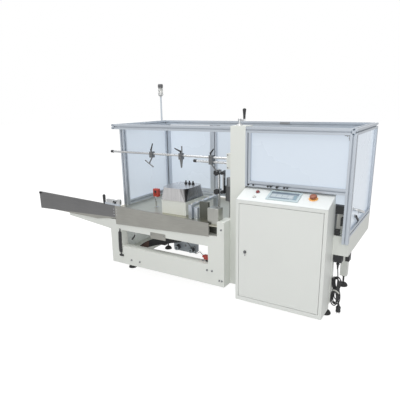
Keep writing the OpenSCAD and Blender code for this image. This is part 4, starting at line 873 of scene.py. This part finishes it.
# Axis of the crank's shaft, radius and height of the upper rod, and the places of the clamps along it
SHAFT = (42.0, 190.0)
ROD_R = 10
ROD_Z = span("guide_rods")[1][2] - ROD_R
CLAMPS_X = (-860, -532, -222)


class FitColumn(bpy.types.Operator):
    """Shapes the crank's grip and fits the bearing flange and the clamps' screws"""

    bl_idname = "case_erector.fit_column"
    bl_label = "Fit the column"

    def execute(self, context):
        self.grip()
        self.flange()
        self.clamps()
        return {"FINISHED"}

    def grip(self):
        """A tapered grip with a waist, rounded at both ends."""
        low, high = span("crank_grip")
        x, y = ((low + high) / 2)[:2]
        share = np.array((0, 0.01, 0.03, 0.08, 0.2, 0.45, 0.7, 0.86, 0.94, 0.98, 1.0))
        radius = np.array((6.5, 8.2, 8.9, 9.2, 9.4, 10.4, 12.4, 13.9, 13.2, 10, 4.5))
        profile = curved(np.column_stack([radius, share * (high[2] - low[2])]))
        grip = Surface().lathe(profile, (x, y, low[2]), "moulded_black", sides=32)
        grip.lathe([(3.4, 0), (3.4, 2.4), (0.2, 2.4)], (x, y, high[2]), "bolt_steel", sides=6)
        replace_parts(grip.build("crank_handle", "height_crank"), "crank_grip")

    def flange(self):
        """The bearing flange on the column's cap, with four screws."""
        x, y = SHAFT
        top = span("lift_column")[1][2]
        ring = [(8.6, 0), (30, 0), (30, 5), (28, 7), (15, 8), (14, 14), (12, 15), (8.6, 15)]
        flange = Surface().lathe(ring, (x, y, top), "bright", sides=32)
        for turn in np.arange(4) * np.pi / 2 + np.pi / 4:
            flange.screw((x + 22 * math.cos(turn), y + 22 * math.sin(turn), top + 6.5), UP, 6)
        flange.build("column_flange")

    def clamps(self):
        """Socket screws and the slits in the fronts of the rod clamps, and screws in the carriage's front."""
        group = Surface()
        front = span("rod_clamps")[0][1]
        for x in CLAMPS_X:
            for rise in (13, -14):
                group.screw((x, front, ROD_Z + rise), FRONT, 8)
            # The slit is a thin near-black plate, painted shade in place of an opening
            group.plate((34.4, 1.4, 0.4), (x, front, ROD_Z), "recess", FRONT, RIGHT, corner=0.3, bevel=0.1)
        for x in (-50, -18):
            for z in (1112, 1216):
                group.screw((x, span("guide_carriage")[0][1], z), FRONT, 9)
        group.build("clamp_screws", "upper_guides")


# The forming station and the belts

# Top of the bed, and the sill of the base's window
TABLE_TOP = span("table_deck")[1][2]
SILL_TOP = 290


class FitForming(bpy.types.Operator):
    """Fits the flap rail's buttons, the block's cover, the sensors, the belts and the pieces in the window"""

    bl_idname = "case_erector.fit_forming"
    bl_label = "Fit the forming station"

    def execute(self, context):
        self.rail()
        self.block()
        self.sensors()
        self.belts()
        self.window()
        return {"FINISHED"}

    def rail(self):
        """A row of buttons on the flap rail."""
        low, high = span("flap_rail")
        group = Surface()
        for y in np.linspace(low[1] + 30, high[1] - 60, 5):
            group.lathe([(7, 0), (7, 6), (5, 9), (0.2, 9)], (low[0] + 17, y, high[2]), "pale_plastic", UP, 20)
        group.build("rail_buttons")

    def block(self):
        """The steel cover over the block beside the partition, and a dark plate on the beam under it, which
        is painted shade in the gap at the magazine wall's end.
        """
        cover = Surface()
        cover.plate((102.4, 82.4, 141.2), (-116, 60, TABLE_TOP), "cover_steel", corner=2, bevel=1.2)
        # A dark plate put as painted shade in the gap beside the magazine wall's end
        cover.plate((74, 118, 3), (-147, 80, 584), "cast_dark_and_painted_shade", FRONT, RIGHT, corner=2)
        cover.build("block_cover_and_shade_plate")

    def sensors(self):
        """The red sensor with its lens on a steel leg, and the red switch with its black foot on the sill."""
        pair = Surface()
        x = -913
        pair.plate((62, 40, 78), (x, 302, 750), "signal_red", corner=5, bevel=2.5)
        pair.lathe([(12, 0), (12, 2), (9, 3), (8, 1.5), (0.2, 1.5)], (x, 282, 800), "recess", FRONT, 28)
        pair.plate((12, 12, 106), (x, 288, TABLE_TOP), "bright", corner=2)
        pair.plate((34, 28, 4), (x, 290, TABLE_TOP), "bright", corner=4)
        y = 60
        pair.plate((51, 29, 17), (-182, y, SILL_TOP), "moulded_black", corner=3)
        pair.plate((46, 28, 40), (-206, y, SILL_TOP + 16), "signal_red", corner=4, bevel=2)
        cap = [(13, 0), (13, 12), (11, 15), (0.2, 15)]
        pair.lathe(cap, (-229, y, SILL_TOP + 38), "signal_red", (-1, 0, 0.2), 24)
        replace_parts(pair.build("sensors"), "sensor_block")

    def belts(self):
        """Ribbed belts round the side units, and the screws and caps on their covers."""
        low, high = span("side_belts")
        top, middle = high[2], (low[0] + high[0]) / 2
        outlines = [rounded(high[0] - low[0] + 3, 87, 43.4, inset, 13) for inset in (1.2, 0, 0, 1.2)]
        loop = layered(outlines, (792, 793.5, 921.5, 923))
        belts, screws = Surface(), Surface()
        for y in (low[1] + 42, high[1] - 42):
            belts.skin(loop + (middle, y, 0), "belt")
            for x in np.linspace(-100, 775, 6):
                screws.screw((x, y, top), UP, 12)
            for x in (low[0] + 42, high[0] - 42):
                screws.lathe([(19, 0), (19, 3), (15, 5), (0.2, 5)], (x, y, top), "bright", sides=28)
        belts.build("unit_belts")
        screws.build("unit_screws")

    def window(self):
        """What shows in the base's window: the tape head's rubber rollers with a nut, a bent link, a brown
        pad, a short lever on its rod, and the plate on the window's head."""
        group = Surface()
        low, high = span("tape_head")
        roller = [(24.5, 4), (24.5, 46), (23.6, 47), (8, 47.5), (7, 51), (0.2, 51)]
        for x in (low[0] + 60, high[0] - 60):
            group.lathe(roller, (x, low[1] + 50, low[2] + 40), "moulded_black", FRONT, 32)
        group.nut(low + (140, 50, 62), FRONT, 19, 8)
        link = [(-500, 196, 372), (-470, 180, 366), (-415, 150, 345), (-369, 130, 379), (-347, 110, 312),
                (-290, 88, 352), (-236, 62, 330)]
        group.tube(link, 3.2, "dark_steel", 10, (0, 0.3, 1))
        pad = np.array([(-1130, 193), (-1053, 215), (-961, 246), (-957, 314), (-996, 291), (-1078, 231)])
        group.skin(layered([pad, pad], (200.0, 197.0))[..., (0, 2, 1)], "brown_pad")
        lever = [(-1052, 100, 384), (-1060, 96, 366), (-1072, 92, 350), (-1080, 90, 338)]
        group.tube(spline(lever, 5), 7, "moulded_black", 14)
        group.tube([lever[0], (-1036, 78, 455)], 4, "bright", 12)
        group.plate((172, 60, 3), (-687, 0, 458), "stainless", FRONT, RIGHT, 4)
        for x in (-757, -617):
            group.screw((x, -3, 470), FRONT, 9)
        group.build("window_pieces")


# The console and the cabinet

# Lower left corner of the console, how far its slope goes back and up, its length, and the ways up it and out
CONSOLE_AT = np.array((*span("cabinet_body")[0][:2], span("console_plate")[0][2]))
CONSOLE_RUN, CONSOLE_RISE = 207.0, 72.0
CONSOLE_LENGTH = math.hypot(CONSOLE_RUN, CONSOLE_RISE)
CONSOLE_UP = np.array((0.0, CONSOLE_RUN, CONSOLE_RISE)) / CONSOLE_LENGTH
CONSOLE_OUT = np.array((0.0, -CONSOLE_RISE, CONSOLE_RUN)) / CONSOLE_LENGTH
# Thickness of the console's plate, which its buttons stand on
CONSOLE_PLATE = 4
# Middle of the display, along the console and up its slope, and the height of the marks on its page
DISPLAY = (350, 110)
PAGE_TOP = 9.3
# Places of the emergency stop and of the two buttons along the console
STOP_X = 570
BUTTONS_X = 130


def on_console(x, up, out):
    """A place on the console: along its lower edge, up its slope and out of it."""
    return CONSOLE_AT + (x, 0, 0) + CONSOLE_UP * up + CONSOLE_OUT * out


class FitConsole(bpy.types.Operator):
    """Fits the display, the emergency stop, the push button and the key switch"""

    bl_idname = "case_erector.fit_console"
    bl_label = "Fit the console"

    def execute(self, context):
        middle = CONSOLE_LENGTH / 2
        self.display()
        self.stop(STOP_X, middle + 10)
        self.buttons(BUTTONS_X, (middle + 20, middle - 50))
        return {"FINISHED"}

    def put(self, surface, size, x, up, out, name, corner=1.0, bevel=0.3):
        """A plate on the console."""
        return surface.plate(size, on_console(x, up, out), name, CONSOLE_OUT, RIGHT, corner, bevel)

    def turned(self, surface, profile, x, up, name, sides=32):
        """A turned piece on the console's plate."""
        return surface.lathe(profile, on_console(x, up, CONSOLE_PLATE), name, CONSOLE_OUT, sides)

    def display(self):
        """The display in its bezel: a page with a dark head, rows of fields, a column of keys and a foot."""
        screen = Surface()
        x, up = DISPLAY
        self.put(screen, (217, 97, 1.4), x, up, 8.0, "display_page")
        self.put(screen, (213, 22, 0.3), x, up + 35, PAGE_TOP, "display_head")
        for step in range(4):
            for rise in (6, -14):
                self.put(screen, (38, 14, 0.3), x - 80 + step * 44, up + rise, PAGE_TOP, "display_field")
        for step in range(3):
            self.put(screen, (24, 16, 0.3), x + 90, up + 8 - 20 * step, PAGE_TOP, "display_key")
        self.put(screen, (150, 9, 0.3), x - 24, up - 36, PAGE_TOP, "display_head")
        screen.build("display")

    def stop(self, x, up):
        """The emergency stop: a pale orange collar, a neck and a mushroom head."""
        stop = Surface()
        collar = [(33.5, 0), (33.5, 4), (31.5, 6), (20, 6.4), (0.2, 6.4)]
        head = [(18, 14), (25, 15), (26.6, 18), (26.2, 24), (24, 28.5), (17, 31), (8, 32), (0.2, 32)]
        self.turned(stop, collar, x, up, "stop_collar", 40)
        self.turned(stop, [(15, 5), (15, 16), (0.2, 16)], x, up, "moulded_black")
        self.turned(stop, curved(head), x, up, "stop_red", 40)
        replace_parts(stop.build("stop_button", sharp=40.0), "emergency_stop")

    def buttons(self, x, ups):
        """A dark red push button in a steel ring, and a key switch with its slot."""
        pair = Surface()
        for up, r in zip(ups, (18, 15)):
            ring = [(r, 0), (r, 2.5), (r - 1, 4), (r - 3, 4.4), (r - 3.2, 3), (0.2, 3)]
            self.turned(pair, ring, x, up, "bright")
        button = [(14, 2), (14, 11), (12.6, 13.4), (8, 14.4), (0.2, 14.6)]
        self.turned(pair, button, x, ups[0], "button_red")
        self.turned(pair, [(11, 2), (11, 8.5), (10, 9.6), (0.2, 9.6)], x, ups[1], "pale_plastic")
        # The key's slot is a thin near-black plate, painted shade in place of an opening
        self.put(pair, (2.2, 9, 0.3), x, ups[1], 13.5, "recess", 0.8, 0.1)
        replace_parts(pair.build("console_switches"), "console_buttons")


# Face of the mounting plate, the margin that its gear keeps, and the heights of its ducts and of its rails
PLATE_FACE = span("mounting_plate")[0][1]
GEAR_MARGIN = 14
DUCT_H = 50
RAIL_H = 7.5


class FitCabinet(bpy.types.Operator):
    """Fits the door's lock and seal, and the gear on the mounting plate"""

    bl_idname = "case_erector.fit_cabinet"
    bl_label = "Fit the cabinet"

    def execute(self, context):
        self.lock()
        self.gear()
        return {"FINISHED"}

    def lock(self):
        """The key lock under the latch's grip, and the seal round the door's inner edge."""
        latch, door = span("door_latch"), span("cabinet_door")
        x, front, z = (latch[0][0] + latch[1][0]) / 2, door[0][1], latch[0][2] - 14
        lock = Surface()
        lock.lathe([(6.5, 0), (6.5, 2), (5.5, 3), (0.2, 3)], (x, front, z), "bright", FRONT, 28)
        # The key slot is a thin near-black plate, painted shade in place of an opening
        lock.plate((1.6, 6, 0.3), (x, front - 3, z), "recess", FRONT, RIGHT, 0.5, 0.1)
        self.seal(lock, *door)
        lock.build("door_lock", "cabinet_door")

    def seal(self, lock, low, high):
        """A strip along each edge of the door's back, clear of its hinge side."""
        x, _, z = (low + high) / 2
        wide, _, tall = high - low - 30
        strips = [((x - 8, z + side * tall / 2), (wide - 20, 10, 5)) for side in (1, -1)]
        strips += [((edge, z), (10, tall, 5)) for edge in (x - wide / 2, x + wide / 2 - 20)]
        for (along, up), size in strips:
            lock.plate(size, (along, high[1], up), "moulded_black", BACK, RIGHT, 2, 1.5)

    def gear(self):
        """The gear on the mounting plate: ducts and rails, and rows of switches, drives and terminals."""
        gear = Surface()
        low, high = span("mounting_plate")
        left, right = low[0] + GEAR_MARGIN, high[0] - GEAR_MARGIN
        self.ducts(gear, left, right, low[2], high[2])
        for z in (215, 440, 650):
            self.put(gear, left + 46, right - 6, z, z + 35, RAIL_H, "bright", 0, 0.5, 0.3)
        self.switches(gear, left)
        self.drives(gear, left)
        self.terminals(gear, left)
        gear.build("cabinet_gear")

    def put(self, gear, x0, x1, z0, z1, depth, name, out=0.0, corner=2.0, bevel=0.8):
        """A block between those edges, out from the mounting plate's face."""
        middle = ((x0 + x1) / 2, PLATE_FACE - out, (z0 + z1) / 2)
        gear.plate((x1 - x0, z1 - z0, depth), middle, name, FRONT, RIGHT, corner, bevel)

    def ducts(self, gear, left, right, low, high):
        """Four level wiring ducts with slots in their lids, and an upright one at the left."""
        for z in (low + 16, 320, 545, high - 52):
            self.put(gear, left, right, z, z + 36, DUCT_H, "duct")
            for x in np.arange(left + 8, right - 8, 11.0):
                # The lid's slots are thin near-black plates, painted shade in place of openings
                self.put(gear, x, x + 5, z + 2, z + 34, 0.5, "recess", DUCT_H, 0.5, 0.1)
        self.put(gear, left, left + 36, low + 60, high - 60, DUCT_H, "duct")

    def switches(self, gear, left):
        """Seven breakers with their toggles, and four contactors."""
        for step in range(7):
            x = left + 60 + step * 18.5
            self.put(gear, x, x + 17.5, 612, 700, 58, "pale_plastic", RAIL_H)
            self.put(gear, x, x + 17.5, 634, 678, 8, "pale_plastic", RAIL_H + 58)
            self.put(gear, x + 5, x + 12.5, 650, 668, 8, "moulded_black", RAIL_H + 66, 1.0)
        for step in range(4):
            x = left + 215 + step * 50
            self.put(gear, x, x + 45, 613, 697, 74, "gear_grey", RAIL_H)
            self.put(gear, x + 10, x + 35, 640, 668, 6, "moulded_black", RAIL_H + 74)

    def drives(self, gear, left):
        """Three drives with their displays and terminals, a power supply and a controller."""
        for step in range(3):
            x = left + 60 + step * 62
            self.put(gear, x, x + 54, 392, 510, 96, "gear_dark", RAIL_H, 3.0)
            self.put(gear, x + 8, x + 46, 470, 500, 1.5, "display_page", RAIL_H + 96)
            # The drive's lower strip is near black, painted shade of its terminal openings
            self.put(gear, x + 8, x + 46, 400, 416, 1.5, "recess", RAIL_H + 96)
        self.put(gear, left + 262, left + 342, 390, 512, 88, "bright", RAIL_H, 1.5)
        self.put(gear, left + 362, left + 480, 388, 515, 92, "gear_dark", RAIL_H, 3.0)
        self.put(gear, left + 378, left + 464, 450, 500, 1.5, "display_head", RAIL_H + 92)

    def terminals(self, gear, left):
        """A row of terminals, each sixth one for the earth, with two openings each."""
        for step in range(38):
            x = left + 56 + step * 12.2
            name = "pale_plastic" if step % 6 else "earth_green"
            self.put(gear, x, x + 11.4, 208, 262, 44, name, RAIL_H, 1.0, 0.5)
            for z in (244, 218):
                # The openings are thin near-black plates, painted shade in place of holes
                self.put(gear, x + 3, x + 8.4, z, z + 8, 0.4, "recess", RAIL_H + 44, 1.0, 0.1)


# The lamp and the right end

# Left, right, bottom and top of each connector box, and their backs
BOXES = ((849, 922, 835, 895), (887, 922, 745, 805))
BOX_BACK = 200


class FitEnds(bpy.types.Operator):
    """Shapes the alarm lamp and fits the connectors at the right end"""

    bl_idname = "case_erector.fit_ends"
    bl_label = "Fit the ends"

    def execute(self, context):
        self.lamp()
        self.connectors()
        return {"FINISHED"}

    def lamp(self):
        """The alarm lamp: a grey foot, a clear body ribbed by 0.5 cos(2 pi z / 4), a core, and a dark cap."""
        low, high = span("alarm_lamp")
        place = ((low + high) / 2 * (1, 1, 0)) + (0, 0, low[2])
        lamp = Surface()
        lamp.lathe([(14, 0), (28, 14), (28, 26), (27, 28), (0.2, 28)], place, "lamp_grey", sides=40)
        z = np.linspace(28, 92, 97)
        lens = np.column_stack([25.6 + 0.5 * np.cos(z * 2 * np.pi / 4.0), z])
        lamp.lathe(lens, place, "lamp_lens", sides=72, lobes=36, depth=0.02)
        lamp.lathe([(9, 28), (9, 88), (0.2, 88)], place, "lamp_core", sides=24)
        cap = [(26, 92), (28, 93.5), (28, 120), (26.5, 124), (21, 129), (18, 130), (0.2, 130)]
        lamp.lathe(cap, place, "lamp_cap", sides=40)
        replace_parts(lamp.build("lamp_head"), "alarm_lamp")

    def connectors(self):
        """The pale plate behind the black boxes at the right end, their lids with screws, and a gland."""
        group = Surface().plate((77, 140, 3), (886.5, BOX_BACK + 7, 770), "pale_plastic", BACK, RIGHT, 3)
        for x0, x1, z0, z1 in BOXES:
            lid = (x1 - x0 - 4, z1 - z0 - 4, 4)
            group.plate(lid, ((x0 + x1) / 2, BOX_BACK, (z0 + z1) / 2), "moulded_black", BACK, RIGHT, 4, 1.2)
            for z in (z0 + 10, z1 - 10):
                for x in (x0 + 9, x1 - 9):
                    group.screw((x, BOX_BACK + 4, z), BACK, 6)
        gland = [(9, 0), (9, 4), (7, 5), (7, 12), (5, 14), (0.2, 14)]
        group.lathe(gland, (911, 178, BOXES[0][3]), "moulded_black", sides=24)
        group.build("connector_lids")


class SetStudio(bpy.types.Operator):
    """Sets up the camera, the lamps, the floor and the background"""

    bl_idname = "case_erector.set_studio"
    bl_label = "Set the studio"

    def execute(self, context):
        scene = context.scene
        scene.view_settings.view_transform = "Standard"
        studio = scene.erector_studio
        self.camera(scene, studio)
        self.lamps(scene, studio)
        self.floor(scene)
        self.world(scene, studio)
        return {"FINISHED"}

    def camera(self, scene, studio):
        """A camera that looks along +Y before it is turned, tilted and rolled."""
        data = bpy.data.cameras.new("camera")
        data.lens = data.sensor_width * studio.focal_px / PICTURE
        data.shift_x = (PICTURE / 2 - studio.centre_px[0]) / PICTURE
        data.shift_y = (studio.centre_px[1] - PICTURE / 2) / PICTURE
        data.clip_end = 100
        camera = bpy.data.objects.new("camera", data)
        turn = Matrix.Rotation(studio.azimuth, 4, "Z") @ Matrix.Rotation(math.pi / 2 - studio.pitch, 4, "X")
        camera.matrix_world = Matrix.Translation(studio.place) @ turn @ Matrix.Rotation(studio.roll, 4, "Z")
        scene.collection.objects.link(camera)
        scene.camera = camera

    def lamps(self, scene, studio):
        """Two large soft lamps that look at the middle of the machine."""
        middle = Vector((0, 0, 0.8))
        for name, watts, size, place in (
            ("key", studio.key_power, 4.0, Vector((-0.5, -0.9, 5.0))),
            ("fill", studio.fill_power, 3.0, Vector((2.8, -4.2, 1.7))),
        ):
            data = bpy.data.lights.new(name, "AREA")
            data.energy = watts
            data.size = size
            lamp = bpy.data.objects.new(name, data)
            aim = (middle - place).to_track_quat("-Z", "Y").to_matrix().to_4x4()
            lamp.matrix_world = Matrix.Translation(place) @ aim
            scene.collection.objects.link(lamp)

    def floor(self, scene):
        """A wide pale floor, which shows as near white and keeps the shadow."""
        half = 30.0
        mesh = bpy.data.meshes.new("floor")
        corners = [(-half, -half, 0), (half, -half, 0), (half, half, 0), (-half, half, 0)]
        mesh.from_pydata(corners, [], [(0, 1, 2, 3)])
        floor = bpy.data.objects.new("floor", mesh)
        scene.collection.objects.link(floor)
        material = bpy.data.materials.new("pale_floor")
        graph = cleared(material)
        matt = graph.add("ShaderNodeBsdfDiffuse", [("Color", (0.86, 0.86, 0.86, 1))])
        strength = self.seen(graph, shown=1.42, mirrored=0.9, unseen=0.5)
        glow = graph.add("ShaderNodeEmission", [("Color", (1, 1, 1, 1)), ("Strength", strength)])
        mixed = graph.add("ShaderNodeMixShader", [(0, 0.62), (1, matt.outputs[0]), (2, glow.outputs[0])])
        graph.add("ShaderNodeOutputMaterial", [("Surface", mixed.outputs[0])])
        mesh.materials.append(material)

    def seen(self, graph, shown, mirrored, unseen):
        """One value for rays to the camera or through glass, one for mirrored rays and one for the others."""
        rays = graph.add("ShaderNodeLightPath").outputs
        direct = graph.math("MAXIMUM", rays["Is Camera Ray"], rays["Is Transmission Ray"])
        rest = graph.add("ShaderNodeMix", [(0, rays["Is Glossy Ray"]), (2, unseen), (3, mirrored)]).outputs[0]
        return graph.add("ShaderNodeMix", [(0, direct), (2, rest), (3, shown)]).outputs[0]

    def world(self, scene, studio):
        """A white background that lights the machine less than it shows."""
        world = bpy.data.worlds.new("studio")
        graph = cleared(world)
        direction = graph.add("ShaderNodeTexCoord").outputs["Generated"]
        right = graph.add("ShaderNodeSeparateXYZ", [(0, direction)]).outputs[0]
        ambient = graph.math("MULTIPLY_ADD", right, studio.lean * studio.ambient, studio.ambient)
        strength = self.seen(graph, shown=1.0, mirrored=0.9, unseen=ambient)
        sky = graph.add("ShaderNodeBackground", [("Color", (1, 1, 1, 1)), ("Strength", strength)])
        graph.add("ShaderNodeOutputWorld", [("Surface", sky.outputs[0])])
        scene.world = world


class ErectorPanel(bpy.types.Panel):
    """Lists the settings and the steps in the sidebar"""

    bl_idname = "VIEW3D_PT_case_erector"
    bl_label = "Case erector"
    bl_space_type = "VIEW_3D"
    bl_region_type = "UI"
    bl_category = "Case erector"

    def draw(self, context):
        for operator in STEPS:
            self.layout.operator(operator.bl_idname)
        for group in (context.scene.erector_finishes, context.scene.erector_studio):
            for name in group.__annotations__:
                self.layout.prop(group, name)


STEPS = (
    SetStudio, LayLead, FinishFrame, TrimGuard, FitBase, FitColumn, FitForming, FitConsole, FitCabinet,
    FitEnds,
)
CLASSES = (FinishSettings, StudioSettings, *STEPS, ErectorPanel)


def register():
    """Adds the classes and the scene's settings."""
    for part in CLASSES:
        bpy.utils.register_class(part)
    bpy.types.Scene.erector_finishes = PointerProperty(type=FinishSettings)
    bpy.types.Scene.erector_studio = PointerProperty(type=StudioSettings)


def unregister():
    """Takes the settings and the classes away again."""
    del bpy.types.Scene.erector_studio
    del bpy.types.Scene.erector_finishes
    for part in reversed(CLASSES):
        bpy.utils.unregister_class(part)


def main():
    """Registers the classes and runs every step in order."""
    register()
    for operator in STEPS:
        group, name = operator.bl_idname.split(".")
        getattr(getattr(bpy.ops, group), name)()


if __name__ == "__main__":
    main()
